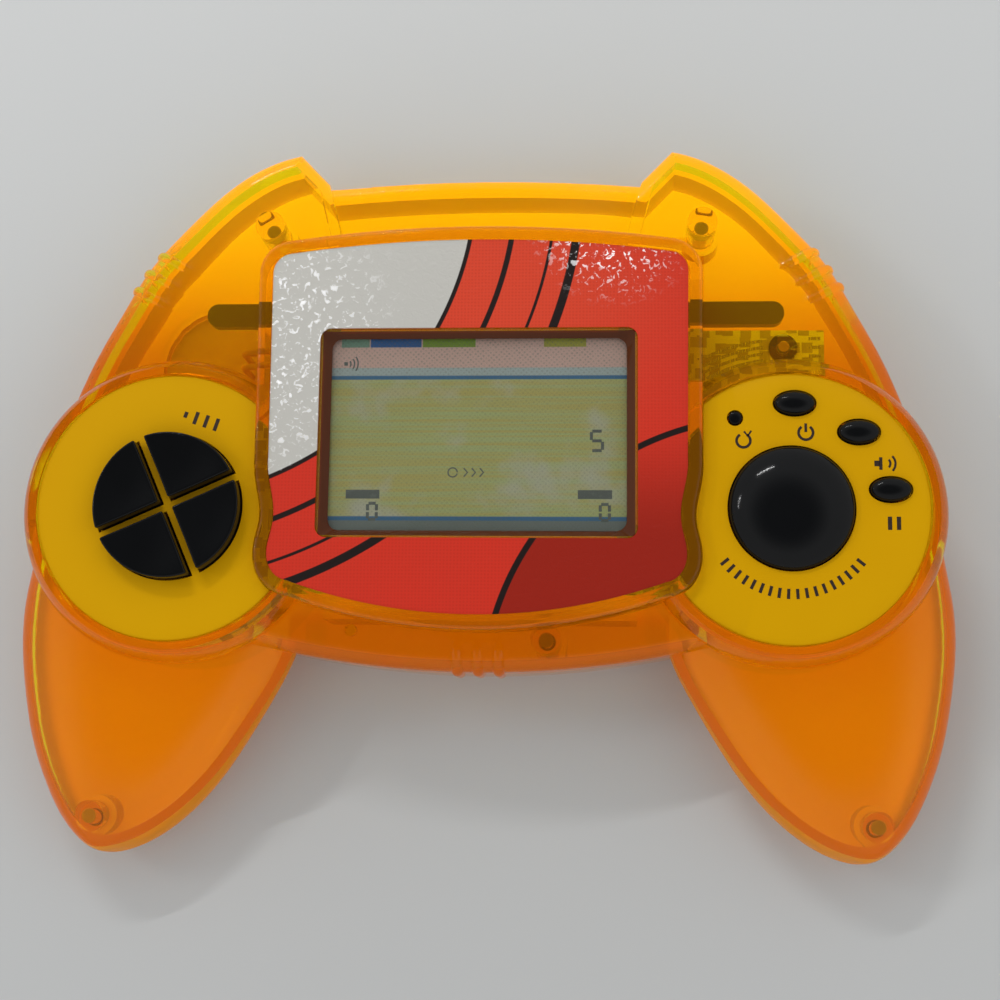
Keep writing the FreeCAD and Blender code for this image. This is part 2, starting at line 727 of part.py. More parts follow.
def cover_slot():
    """Space in the rear wall that the cell cover and its tongues slide in."""
    half = COVER_HALF_WIDTH + COVER_GAP
    far_y = COVER_TOP_Y + COVER_GAP
    plate = box(-half, half, -FAR, far_y, -PAST, COVER_LEVEL_Z)
    half += COVER_TONGUE
    tongue_low = COVER_THICKNESS - COVER_TONGUE_THICKNESS - COVER_GAP
    tongues = box(-half, half, -FAR, far_y, tongue_low, COVER_LEVEL_Z)
    return plate.fuse(tongues)


def rear_shell():
    """Clear rear half: cell bay, cover rails, screw posts and the sounder's cage."""
    shell = OUTSIDE.cut(INSIDE).common(box(-FAR, FAR, -FAR, FAR, -PAST, PARTING_Z))
    bay_outer, bay_inner = bay_walls()
    rail_half = COVER_HALF_WIDTH + COVER_TONGUE + COVER_GAP + BAY_WALL
    deck_y = COVER_TOP_Y + BAY_WALL
    deck = box(-rail_half, rail_half, -FAR, deck_y, COVER_LEVEL_Z, COVER_LEVEL_Z + BAY_WALL)
    posts = [cylinder(x, y, REAR_BOSS_RADIUS, 0, BOSS_MEETING_Z) for x, y in CASE_SCREW_POINTS]
    cage = cylinder(SOUNDER_X, SOUNDER_Y, SOUNDER_RADIUS + CAGE_GAP + BAY_WALL, 0, CAGE_TOP_Z)
    cage = cage.cut(cylinder(SOUNDER_X, SOUNDER_Y, SOUNDER_RADIUS + CAGE_GAP, 0, CAGE_TOP_Z))
    inner_parts = [part.common(ROOTING) for part in [deck, cage] + posts]
    shell = shell.multiFuse(inner_parts + [bay_outer])
    cuts = [bay_inner, cover_slot()] + sound_holes()
    shank_room = CASE_SCREW_RADIUS + CASE_SCREW_ROOM
    head_room = CASE_SCREW_HEAD_RADIUS + CASE_SCREW_ROOM
    for x, y in CASE_SCREW_POINTS:
        cuts.append(cylinder(x, y, shank_room, -PAST, BOSS_MEETING_Z + PAST))
        cuts.append(cylinder(x, y, head_room, -PAST, CASE_SCREW_SEAT_Z))
    for side in (-1, 1):
        start = Vector(BAY_HALF_LENGTH - PAST, BAY_Y + side * CELL_PITCH / 2, WIRE_EXIT_Z)
        length = BAY_WALL + 2 * PAST
        cuts.append(Part.makeCylinder(WIRE_RADIUS + WIRE_GAP, length, start, Vector(1, 0, 0)))
    return shell.cut(cuts)


def sound_holes():
    """A ring of small holes round a middle one, under the sounder."""
    places = [(SOUNDER_X, SOUNDER_Y)]
    for step in range(6):
        angle = math.radians(60 * step)
        across = SOUND_HOLE_RING * math.cos(angle)
        up = SOUND_HOLE_RING * math.sin(angle)
        places.append((SOUNDER_X + across, SOUNDER_Y + up))
    return [cylinder(x, y, SOUND_HOLE_RADIUS, -PAST, CASE_WALL) for x, y in places]


def cell_cover():
    """Sliding cover in the rear wall, flush with it, with a tongue along each side."""
    plate = box(-COVER_HALF_WIDTH, COVER_HALF_WIDTH, -FAR, COVER_TOP_Y, -PAST, COVER_THICKNESS)
    plate = plate.common(OUTSIDE)
    half = COVER_HALF_WIDTH + COVER_TONGUE
    tongues = box(
        -half, half, COVER_TONGUE_LOW_Y, COVER_TOP_Y,
        COVER_THICKNESS - COVER_TONGUE_THICKNESS, COVER_THICKNESS,
    )
    cover = plate.fuse(tongues)
    grooves = []
    for step in range(3):
        y = COVER_GRIP_Y - step * COVER_GRIP_PITCH
        far_y = y + COVER_GRIP_PITCH / 2
        grooves.append(box(-COVER_GRIP_HALF, COVER_GRIP_HALF, y, far_y, -PAST, COVER_GRIP_DEPTH))
    return cover.cut(grooves).removeSplitter()


# Label, discs and display.

def left_disc():
    """Coloured disc round the direction pad, cut away by the plateau."""
    left, _ = control_faces(BUTTON_GAP)
    return pod_disc(-POD_X, left)


def right_disc():
    """Coloured disc round the action button, cut away by the plateau."""
    _, right = control_faces(BUTTON_GAP)
    return pod_disc(POD_X, right)


def pod_disc(x, holes):
    """A thin disc in its seat, with the given holes."""
    disc = cylinder(x, POD_Y, DISC_RADIUS, POD_FLOOR_Z, DISC_TOP_Z)
    edge = level_edges(disc, DISC_TOP_Z, lambda c: True)
    disc = disc.makeFillet(DISC_EDGE_ROUND, edge)
    keep_out = prism(grown(label_face(), PLATEAU_RIM + DISC_GAP), PARTING_Z, PLATEAU_TOP_Z)
    return disc.cut([keep_out] + [prism(face, POD_FLOOR_Z - PAST, DISC_TOP_Z + PAST) for face in holes])


def label():
    """Printed label in its shallow recess, with the window cut out."""
    width = WINDOW_WIDTH + 2 * LABEL_GAP
    height = WINDOW_HEIGHT + 2 * LABEL_GAP
    opening = rounded_rectangle(width, height, WINDOW_CORNER, 0, WINDOW_Y)
    sheet = prism(label_face(), LABEL_FLOOR_Z, LABEL_FLOOR_Z + LABEL_THICKNESS)
    return sheet.cut(prism(opening, LABEL_FLOOR_Z - PAST, LABEL_FLOOR_Z + PAST))


def window_lens():
    """Clear plate under the window."""
    width = SCREEN_WIDTH + 2 * LENS_MARGIN
    height = SCREEN_HEIGHT + 2 * LENS_MARGIN
    face = rounded_rectangle(width, height, WINDOW_CORNER, 0, WINDOW_Y)
    return prism(face, LENS_BOTTOM_Z, PLATEAU_CEILING_Z)


GLASS_LOW_Y = WINDOW_Y - SCREEN_HEIGHT / 2 - GLASS_MARGIN
GLASS_HIGH_Y = WINDOW_Y + SCREEN_HEIGHT / 2 + GLASS_MARGIN


def glass_sheet(low, high, ledge):
    """A sheet of the display, with a ledge past the others on its top side."""
    return box(-GLASS_HALF_WIDTH, GLASS_HALF_WIDTH, GLASS_LOW_Y, GLASS_HIGH_Y + ledge, low, high)


def display_frame():
    """Black frame that stands on the board and holds the glass."""
    half = GLASS_HALF_WIDTH + FRAME_GAP
    low_y = GLASS_LOW_Y - FRAME_GAP
    high_y = GLASS_HIGH_Y + GLASS_LEDGE + FRAME_GAP
    outer = box(
        -FRAME_HALF_WIDTH, FRAME_HALF_WIDTH, low_y - FRAME_WALL, high_y + FRAME_WALL,
        BOARD_TOP_Z, LENS_BOTTOM_Z - FRAME_GAP / 2,
    )
    pocket = box(-half, half, low_y, high_y, FILM_BOTTOM_Z, LENS_BOTTOM_Z + PAST)
    under = box(
        -half + FRAME_WALL, half - FRAME_WALL, low_y + FRAME_WALL, high_y - FRAME_WALL - GLASS_LEDGE,
        BOARD_TOP_Z - PAST, FILM_BOTTOM_Z - FRAME_WALL,
    )
    slot_low_y = GLASS_HIGH_Y + (GLASS_LEDGE - ZEBRA_WIDTH) / 2 - FRAME_GAP
    slot = box(
        -GLASS_HALF_WIDTH + FRAME_WALL, GLASS_HALF_WIDTH - FRAME_WALL,
        slot_low_y, slot_low_y + ZEBRA_WIDTH + 2 * FRAME_GAP, BOARD_TOP_Z - PAST, FILM_BOTTOM_Z + PAST,
    )
    return outer.cut([pocket, under, slot])


def zebra_strip():
    """Rubber contact strip from the board up to the rear glass's ledge."""
    half = GLASS_HALF_WIDTH - FRAME_WALL - FRAME_GAP
    low_y = GLASS_HIGH_Y + (GLASS_LEDGE - ZEBRA_WIDTH) / 2
    return box(-half, half, low_y, low_y + ZEBRA_WIDTH, BOARD_TOP_Z, REAR_GLASS_BOTTOM_Z)


# Board and what it carries.

def main_board():
    """Circuit board: a middle field, a round lobe in each pod and a tab by the horn."""
    lobes = both_sides(round_face(MIDDLE, BOARD_LOBE_RADIUS))
    height = BOARD_TOP_Y - BOARD_BOTTOM_Y
    middle_y = (BOARD_TOP_Y + BOARD_BOTTOM_Y) / 2
    field = rounded_rectangle(2 * BOARD_HALF_WIDTH, height, BOARD_CORNER, 0, middle_y)
    tab_x, tab_low, tab_high = BOARD_TAB
    tab = box(0, tab_x, tab_low, tab_high, BOARD_BOTTOM_Z, BOARD_TOP_Z)
    neck = box(*BOARD_NECK_X, POD_Y, tab_low + PAST, BOARD_BOTTOM_Z, BOARD_TOP_Z)
    pieces = [prism(face, BOARD_BOTTOM_Z, BOARD_TOP_Z) for face in [field] + lobes]
    board = joined(pieces + [tab, neck])
    radius = BOARD_SCREW_RADIUS + BOARD_SCREW_ROOM
    low = BOARD_BOTTOM_Z - PAST
    high = BOARD_TOP_Z + PAST
    return board.cut([cylinder(x, y, radius, low, high) for x, y in BOARD_SCREW_POINTS])


def stiffener():
    """Dark bar under the board, with round ends, reaching out past the plateau."""
    face = rounded_rectangle(STIFFENER_LENGTH, STIFFENER_WIDTH, STIFFENER_CORNER, *STIFFENER_PLACE)
    return prism(face, BOARD_BOTTOM_Z - STIFFENER_HEIGHT, BOARD_BOTTOM_Z)


def chip_cover():
    """Domed resin blob over the bonded chip, under the board."""
    centre_z = BOARD_BOTTOM_Z + CHIP_SPHERE_RADIUS - CHIP_DEPTH
    dome = Part.makeSphere(CHIP_SPHERE_RADIUS, Vector(0, CHIP_Y, centre_z))
    return dome.common(box(-FAR, FAR, -FAR, FAR, 0, BOARD_BOTTOM_Z))


def board_parts():
    """A row of flat resistors under the board."""
    width, length, height = RESISTOR_SIZE
    low_y = CHIP_Y - length / 2
    pieces = []
    for step in range(RESISTOR_COUNT):
        x = RESISTOR_X + step * RESISTOR_PITCH
        pieces.append(box(x, x + width, low_y, low_y + length, BOARD_BOTTOM_Z - height, BOARD_BOTTOM_Z))
    return Part.makeCompound(pieces)


def drum_capacitor():
    """Electrolytic capacitor lying under the board."""
    centre_z = BOARD_BOTTOM_Z - CAPACITOR_RADIUS
    start = Vector(-CAPACITOR_X, CHIP_Y - CAPACITOR_LENGTH / 2, centre_z)
    can = Part.makeCylinder(CAPACITOR_RADIUS, CAPACITOR_LENGTH, start, Vector(0, 1, 0))
    return can.makeFillet(CAPACITOR_ROUND, can.Edges[:1])


def screws(points, radius, head_radius, head_height, seat_z, tip_z):
    """Pan-head screws driven upwards, one solid each."""
    pieces = []
    for x, y in points:
        shank = cylinder(x, y, radius, seat_z - head_height, tip_z)
        head = cylinder(x, y, head_radius, seat_z - head_height, seat_z)
        screw = shank.fuse(head).removeSplitter()
        slot_half = head_radius * 0.6
        slot_z = seat_z - head_height
        cross = []
        for half_x, half_y in ((slot_half, SLOT_HALF_WIDTH), (SLOT_HALF_WIDTH, slot_half)):
            low = slot_z - PAST
            high = slot_z + SLOT_DEPTH
            cross.append(box(x - half_x, x + half_x, y - half_y, y + half_y, low, high))
        pieces.append(screw.cut(cross))
    return Part.makeCompound(pieces)


def case_screws():
    """Screws from the rear that pull the two shells together."""
    tip = CASE_SCREW_SEAT_Z + CASE_SCREW_LENGTH
    return screws(
        CASE_SCREW_POINTS, CASE_SCREW_RADIUS, CASE_SCREW_HEAD_RADIUS, CASE_SCREW_HEAD_HEIGHT,
        CASE_SCREW_SEAT_Z, tip,
    )


def board_screws():
    """Small screws that hold the board to the front shell's posts."""
    return screws(
        BOARD_SCREW_POINTS, BOARD_SCREW_RADIUS, BOARD_SCREW_HEAD_RADIUS, BOARD_SCREW_HEAD_HEIGHT,
        BOARD_BOTTOM_Z, BOARD_SCREW_TIP_Z,
    )


# Controls.

def direction_button(turn):
    """One quarter of the direction pad: a dished key with a lip under the pod wall."""
    top_z = DISC_TOP_Z + DPAD_RISE
    key = prism(quadrant_face(0, 0), FLANGE_BOTTOM_Z, top_z)
    key = key.makeFillet(KEY_EDGE_ROUND, level_edges(key, top_z, lambda c: True))
    lip = prism(quadrant_face(0, DPAD_BAR / 2 - BUTTON_GAP), FLANGE_BOTTOM_Z, FLANGE_TOP_Z)
    across = DPAD_DISH_PLACE * math.sqrt(0.5)
    dish_z = top_z + DPAD_DISH_RADIUS - DPAD_DISH_DEPTH
    dish = Part.makeSphere(DPAD_DISH_RADIUS, Vector(across - POD_X, across + POD_Y, dish_z))
    button = joined([key, lip]).cut(dish)
    button.rotate(Vector(-POD_X, POD_Y, 0), Vector(0, 0, 1), turn)
    return button


def domed_button(face, lip_face, rise, crown_radius, centre):
    """A key with a spherical crown and a lip under the pod wall."""
    top_z = DISC_TOP_Z + rise
    key = prism(face, FLANGE_BOTTOM_Z, top_z)
    crown = Part.makeSphere(crown_radius, Vector(centre[0], centre[1], top_z - crown_radius))
    key = key.common(crown.fuse(prism(lip_face, FLANGE_BOTTOM_Z, FLANGE_TOP_Z)))
    return joined([key, prism(lip_face, FLANGE_BOTTOM_Z, FLANGE_TOP_Z)])


def pod_point(place):
    """A place on the right-hand pod in the case's own frame."""
    return (POD_X + place[0], POD_Y + place[1])


def action_button():
    """Large domed key in the middle of the right-hand pod."""
    crown = (ACTION_RADIUS ** 2 + ACTION_CROWN ** 2) / (2 * ACTION_CROWN)
    lip = round_face(MIDDLE, ACTION_RADIUS + FLANGE_LIP)
    return domed_button(round_face(MIDDLE, ACTION_RADIUS), lip, ACTION_RISE, crown, pod_point(MIDDLE))


def oval_button(place):
    """Small oval key with a rounded top."""
    lip = oval_face(place, FLANGE_LIP)
    return domed_button(oval_face(place, 0), lip, OVAL_RISE, OVAL_CROWN, pod_point(place))


def reset_button():
    """Small round key that stands only just out of the disc."""
    face = round_face(RESET_PLACE, RESET_RADIUS)
    lip = round_face(RESET_PLACE, RESET_RADIUS + FLANGE_LIP)
    return domed_button(face, lip, RESET_RISE, RESET_CROWN, pod_point(RESET_PLACE))


def direction_mat():
    """Rubber sheet under the direction pad."""
    return cylinder(-POD_X, POD_Y, DPAD_MAT_RADIUS, BOARD_TOP_Z, MAT_TOP_Z)


def action_mat():
    """Rubber sheet under the right-hand controls, clear of the board post."""
    mat = cylinder(POD_X, POD_Y, ACTION_MAT_RADIUS, BOARD_TOP_Z, MAT_TOP_Z)
    post_room = BOARD_POST_RADIUS + MAT_POST_GAP
    return mat.cut([cylinder(x, y, post_room, 0, PLATEAU_TOP_Z) for x, y in BOARD_SCREW_POINTS])


def rubber_dome(x, y, foot_radius):
    """Hollow rubber cone that pushes a key back up."""
    top_radius = foot_radius * DOME_TAPER
    hollow_z = MAT_TOP_Z + BUTTON_TRAVEL + DOME_SLACK
    profile = [
        (0, hollow_z), (top_radius - DOME_WALL, hollow_z),
        (foot_radius - DOME_WALL, MAT_TOP_Z), (foot_radius, MAT_TOP_Z),
        (top_radius, FLANGE_BOTTOM_Z), (0, FLANGE_BOTTOM_Z),
    ]
    return turned(profile, x, y)


# Cells, contacts, sounder and wires.

def cell(side):
    """One small round cell, with its nub pointing to the given side."""
    y = BAY_Y + side * CELL_PITCH / 2
    can_length = CELL_LENGTH - CELL_NUB_LENGTH
    start = Vector(-side * CELL_LENGTH / 2, y, CELL_Z)
    along = Vector(side, 0, 0)
    can = Part.makeCylinder(CELL_RADIUS, can_length, start, along)
    rims = [edge for edge in can.Edges if edge.Curve.TypeId == "Part::GeomCircle"]
    can = can.makeFillet(CELL_ROUND, rims)
    nub = Part.makeCylinder(CELL_NUB_RADIUS, CELL_NUB_LENGTH, start + along * can_length, along)
    return can.fuse(nub).removeSplitter()


def contact_strip(side, y_low, y_high):
    """Sprung metal strip on a bay's end wall, bowed out to the cells."""
    wall_x = side * (BAY_HALF_LENGTH - CONTACT_WALL_GAP)
    plate_x = wall_x - side * CONTACT_THICKNESS
    low_x, high_x = sorted([wall_x, plate_x])
    low_z = CELL_Z - CONTACT_HALF_HEIGHT
    pieces = [box(low_x, high_x, y_low, y_high, low_z, low_z + 2 * CONTACT_HALF_HEIGHT)]
    face_x = side * (CELL_LENGTH / 2 + CONTACT_TIP_GAP)
    for row in (-1, 1):
        y = BAY_Y + row * CELL_PITCH / 2
        if y_low < y < y_high:
            pieces.append(contact_bow(plate_x, face_x, y))
    return joined(pieces)


def contact_bow(plate_x, face_x, y):
    """Curved tongue from the strip to a cell's end."""
    low_y = y - CONTACT_BOW
    high_y = y + CONTACT_BOW
    foot = CONTACT_FOOT
    inner_x = face_x + math.copysign(CONTACT_THICKNESS, plate_x)
    face = closed_face([
        arc((plate_x, low_y), (face_x, y), (plate_x, high_y)),
        arc((plate_x, low_y + foot), (inner_x, y), (plate_x, high_y - foot)),
        line((plate_x, low_y), (plate_x, low_y + foot)),
        line((plate_x, high_y), (plate_x, high_y - foot)),
    ])
    return prism(face, CELL_Z - CONTACT_BOW / 2, CELL_Z + CONTACT_BOW / 2)


def bent_wire(points):
    """A round wire along straight runs with rounded bends."""
    corners = [Vector(*p) for p in points]
    edges = []
    start = corners[0]
    for before, corner, after in zip(corners, corners[1:], corners[2:]):
        back = (before - corner).normalize() * WIRE_BEND
        ahead = (after - corner).normalize() * WIRE_BEND
        middle = corner + (back + ahead) * (1 - math.sqrt(0.5))
        edges.append(Part.makeLine(start, corner + back))
        edges.append(Part.Arc(corner + back, middle, corner + ahead).toShape())
        start = corner + ahead
    edges.append(Part.makeLine(start, corners[-1]))
    direction = corners[1] - corners[0]
    ring = Part.Wire(Part.makeCircle(WIRE_RADIUS, corners[0], direction))
    return Part.Wire(edges).makePipeShell([ring], True, False)


def cell_wires():
    """Two wires from the bay's end contacts up to the board."""
    start_x = BAY_HALF_LENGTH - CONTACT_WALL_GAP
    turn_x = BAY_HALF_LENGTH + BAY_WALL + WIRE_BEND + WIRE_RADIUS
    pieces = []
    for side in (-1, 1):
        y = BAY_Y + side * CELL_PITCH / 2
        pieces.append(bent_wire([
            (start_x, y, WIRE_EXIT_Z), (turn_x, y, WIRE_EXIT_Z), (turn_x, y, BOARD_BOTTOM_Z),
        ]))
    return Part.makeCompound(pieces)


def sounder_wires():
    """Two wires from the sounder up to the board."""
    foot_x = SOUNDER_X + SOUNDER_RADIUS / 2
    foot_z = CASE_WALL + SOUNDER_THICKNESS
    riser_x = SOUNDER_WIRE_MARGIN - BOARD_HALF_WIDTH
    pieces = []
    for step in (-1, 1):
        y = SOUNDER_Y + step * WIRE_SPACING
        pieces.append(bent_wire([
            (foot_x, y, foot_z), (foot_x, y, PARTING_Z),
            (riser_x, y, PARTING_Z), (riser_x, y, BOARD_BOTTOM_Z),
        ]))
    return Part.makeCompound(pieces)


def main():
    """Build and write every sub-part."""
    save(front_shell(), "front_shell")
    save(rear_shell(), "rear_shell")
    save(cell_cover(), "battery_cover")
    save(left_disc(), "left_disc")
    save(right_disc(), "right_disc")
    save(label(), "faceplate_label")
    save(window_lens(), "window_lens")
    save(glass_sheet(FRONT_GLASS_BOTTOM_Z, LENS_BOTTOM_Z - FRAME_GAP / 2, 0), "lcd_front_glass")
    save(glass_sheet(REAR_GLASS_BOTTOM_Z, FRONT_GLASS_BOTTOM_Z, GLASS_LEDGE), "lcd_rear_glass")
    save(glass_sheet(FILM_BOTTOM_Z, REAR_GLASS_BOTTOM_Z, 0), "lcd_background_film")
    save(display_frame(), "lcd_frame")
    save(zebra_strip(), "zebra_strip")
    save(main_board(), "main_board")
    save(stiffener(), "board_stiffener")
    save(chip_cover(), "chip_cover")
    save(board_parts(), "board_resistors")
    save(drum_capacitor(), "capacitor")
    save(case_screws(), "case_screws")
    save(board_screws(), "board_screws")
    for name, turn in DPAD_TURNS.items():
        save(direction_button(turn), "dpad_" + name)
        middle = math.radians(turn + 45)
        x = -POD_X + DPAD_DISH_PLACE * math.cos(middle)
        y = POD_Y + DPAD_DISH_PLACE * math.sin(middle)
        save(rubber_dome(x, y, DPAD_DOME_RADIUS), "dome_dpad_" + name)
    save(action_button(), "action_button")
    save(rubber_dome(*pod_point(MIDDLE), ACTION_DOME_RADIUS), "dome_action")
    for name, place in OVAL_PLACES.items():
        save(oval_button(place), name + "_button")
        save(rubber_dome(*pod_point(place), SMALL_DOME_RADIUS), "dome_" + name)
    save(reset_button(), "reset_button")
    save(rubber_dome(*pod_point(RESET_PLACE), RESET_DOME_RADIUS), "dome_reset")
    save(direction_mat(), "dpad_mat")
    save(action_mat(), "action_mat")
    save(cell(1), "battery_cell_upper")
    save(cell(-1), "battery_cell_lower")
    reach = BAY_HALF_WIDTH - CONTACT_WALL_GAP
    save(contact_strip(-1, BAY_Y - reach, BAY_Y + reach), "contact_link")
    save(contact_strip(1, BAY_Y + CONTACT_SPLIT, BAY_Y + reach), "contact_positive")
    save(contact_strip(1, BAY_Y - reach, BAY_Y - CONTACT_SPLIT), "contact_negative")
    sounder = cylinder(SOUNDER_X, SOUNDER_Y, SOUNDER_RADIUS, CASE_WALL, CASE_WALL + SOUNDER_THICKNESS)
    save(sounder, "sounder_disc")
    save(cell_wires(), "battery_wires")
    save(sounder_wires(), "sounder_wires")


main()
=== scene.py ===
"""Looks of a handheld electronic game in a clear orange case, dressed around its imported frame.

The frame's axes are kept: +Z up out of the screen, +Y towards the horns, +X towards the
action-button pod. Sizes in this file are millimetres until a mesh is made, and metres there.
"""

import json
import logging
import math
from dataclasses import dataclass, field
from enum import Enum
from typing import Any, Sequence

import bpy
import numpy as np
from mathutils import Matrix

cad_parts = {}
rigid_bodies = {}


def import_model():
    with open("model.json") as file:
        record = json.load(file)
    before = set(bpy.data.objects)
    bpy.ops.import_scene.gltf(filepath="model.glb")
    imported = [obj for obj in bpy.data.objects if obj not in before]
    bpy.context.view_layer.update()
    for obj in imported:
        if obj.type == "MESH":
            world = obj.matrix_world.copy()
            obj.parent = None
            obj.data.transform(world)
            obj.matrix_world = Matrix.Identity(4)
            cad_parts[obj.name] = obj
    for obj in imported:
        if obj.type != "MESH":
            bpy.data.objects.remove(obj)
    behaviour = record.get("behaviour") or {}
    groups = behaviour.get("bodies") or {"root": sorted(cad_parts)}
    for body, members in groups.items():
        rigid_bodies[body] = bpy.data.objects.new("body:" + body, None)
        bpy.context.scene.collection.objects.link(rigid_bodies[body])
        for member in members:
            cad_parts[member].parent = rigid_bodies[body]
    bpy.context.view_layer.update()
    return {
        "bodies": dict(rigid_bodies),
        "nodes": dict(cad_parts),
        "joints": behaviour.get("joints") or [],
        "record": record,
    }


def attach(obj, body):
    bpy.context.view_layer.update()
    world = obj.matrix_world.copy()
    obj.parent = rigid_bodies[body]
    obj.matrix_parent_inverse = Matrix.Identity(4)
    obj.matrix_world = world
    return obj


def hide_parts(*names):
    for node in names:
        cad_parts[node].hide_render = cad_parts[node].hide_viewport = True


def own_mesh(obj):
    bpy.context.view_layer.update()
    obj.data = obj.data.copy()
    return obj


LOG = logging.getLogger("handheld_game")
MM = 0.001

Pair = tuple[float, float]
Socket = bpy.types.NodeSocket

POD_X = 50.2
POD_Y = -3.8
DISC_TOP_Z = 23.6
FLANGE_LOW_Z = 18.7
FLANGE_HIGH_Z = 19.7
MAT_TOP_Z = 16.2

SHARP_PIECE_DEGREES = 40.0
SHARP_NODE_DEGREES = 30.0
WELD_M = 2e-6
SAME_POINT = 1e-9


class Body(Enum):
    """Bodies of the frame that pieces ride on."""

    CASE = "case"
    UP = "dpad_up"
    LEFT = "dpad_left"
    DOWN = "dpad_down"
    RIGHT = "dpad_right"
    ACTION = "action_button"
    POWER = "power_button"
    SOUND = "sound_button"
    PAUSE = "pause_button"
    RESET = "reset_button"


class Slot(Enum):
    """Material slots of the record, one for each finish."""

    CASE = "clear_orange"
    YELLOW = "yellow_plastic"
    BLACK = "black_plastic"
    LABEL = "printed_label"
    WINDOW = "clear_window"
    GLASS = "display_glass"
    FILM = "display_film"
    RUBBER = "dark_rubber"
    BOARD = "green_board"
    RESIN = "black_resin"
    SLEEVE = "capacitor_sleeve"
    STEEL = "steel"
    JACKET = "cell_jacket"
    SPRING = "spring_metal"
    BRASS = "brass_disc"
    WIRE = "wire_jacket"


# Colours, and the nodes that lay them.


def linear(code: str) -> tuple[float, float, float, float]:
    """Turn an sRGB hex colour into linear light.

    Args:
        code: Six hex digits after a hash sign.

    Returns:
        Red, green and blue, each decoded by the sRGB curve, and a full alpha.
    """
    values = [int(code[i : i + 2], 16) / 255 for i in (1, 3, 5)]
    decoded = [v / 12.92 if v <= 0.04045 else ((v + 0.055) / 1.055) ** 2.4 for v in values]
    return decoded[0], decoded[1], decoded[2], 1.0


# Inputs of a Map Range node, and inputs and output of a Mix node that mixes colours.
VALUE, START, END = 0, 1, 2
MASK, UNDER, OVER, MIXED = 0, 6, 7, 2

SMOOTH = {"interpolation_type": "SMOOTHSTEP"}
COLOURS = {"data_type": "RGBA"}


@dataclass
class Canvas:
    """A node tree to fill, and the patterns that several finishes share."""

    tree: bpy.types.NodeTree
    line_softness_mm: float = 0.08

    def add(self, kind: str, settings: dict[Any, Any]) -> bpy.types.bpy_prop_collection:
        """Add a shader node with its settings and links.

        Args:
            kind: Node type without its ShaderNode prefix.
            settings: Properties by name, and inputs by name or number. An input takes a value,
                an sRGB hex colour, or a socket that feeds it.

        Returns:
            The new node's outputs.
        """
        made = self.tree.nodes.new("ShaderNode" + kind)
        for key, value in settings.items():
            if isinstance(value, Socket):
                self.tree.links.new(value, made.inputs[key])
            elif isinstance(key, str) and key in made.bl_rna.properties:
                setattr(made, key, value)
            else:
                is_colour = isinstance(value, str)
                made.inputs[key].default_value = linear(value) if is_colour else value
        return made.outputs

    def place(self) -> Socket:
        """The surface point in the frame's own axes, in millimetres."""
        place = self.add("TexCoord", {})["Object"]
        return self.add("Mapping", {"Vector": place, "Scale": (1 / MM,) * 3})[0]

    def layers(self, ground: Any, *coats: tuple[Socket, Any]) -> Any:
        """Lay colours over one another, each where its mask is 1.

        Args:
            ground: Lowest colour, as a hex value or a socket.
            coats: Pairs of mask and colour, from the lowest up.

        Returns:
            The colour of the whole stack.
        """
        for mask, colour in coats:
            mix = COLOURS | {MASK: mask, UNDER: ground, OVER: colour}
            ground = self.add("Mix", mix)[MIXED]
        return ground

    def combined(self, operation: str, first: Any, *others: Any) -> Any:
        """Several masks or numbers taken together, in order, by one operation of arithmetic.

        Args:
            operation: Name of the operation.
            first: First mask or number.
            others: The rest, each taken with what came before it.

        Returns:
            The result's socket, or the first one where there are no others.
        """
        for other in others:
            first = self.add("Math", {"operation": operation, 0: first, 1: other})[0]
        return first

    def masks(self, *rises: tuple[Socket, Pair]) -> list[Socket]:
        """Masks that go smoothly from 0 at one value to 1 at another, which may be the lower.

        Args:
            rises: Pairs of the value, and where its mask starts and is full.

        Returns:
            One mask for each pair.
        """
        return [
            self.add("MapRange", SMOOTH | {VALUE: value, START: start, END: end})[0]
            for value, (start, end) in rises
        ]

    def band(self, value: Socket, middle: float, half: float) -> Socket:
        """A mask that is 1 where a value lies within half a width of a middle one.

        Args:
            value: Value to test.
            middle: Middle of the band.
            half: Half its width.

        Returns:
            The mask, with its edges a little soft.
        """
        away = self.combined("SUBTRACT", value, middle)
        size = self.add("Math", {"operation": "ABSOLUTE", 0: away})[0]
        soft = self.line_softness_mm
        return self.masks((size, (half + soft, half - soft)))[0]

    def distance(self, point: Socket, centre: Pair) -> Socket:
        """Distance in plan, in millimetres, from a place given as x and y.

        Args:
            point: Place on the object, in millimetres.
            centre: Place to measure from.

        Returns:
            The distance.
        """
        level = self.add("VectorMath", {"operation": "MULTIPLY", 0: point, 1: (1, 1, 0)})[0]
        apart = {"operation": "DISTANCE", 0: level, 1: (*centre, 0)}
        return self.add("VectorMath", apart)["Value"]


# Finishes.


@dataclass(frozen=True)
class Finish:
    """A finish as a node material that reads the place on the object."""

    name: str

    def coat(self, on: Canvas, point: Socket) -> dict[str, Any]:
        """Lay out the finish's patterns.

        Args:
            on: Canvas that takes the nodes.
            point: Place on the object, in millimetres.

        Returns:
            Inputs of the Principled shader: values, hex colours and sockets.
        """
        raise NotImplementedError

    def make(self) -> bpy.types.Material:
        """Build the material.

        Returns:
            The material.
        """
        material = bpy.data.materials.new(self.name)
        material.use_nodes = True
        material.node_tree.nodes.clear()
        on = Canvas(material.node_tree)
        shader = on.add("BsdfPrincipled", self.coat(on, on.place()))
        on.add("OutputMaterial", {"Surface": shader["BSDF"]})
        return material


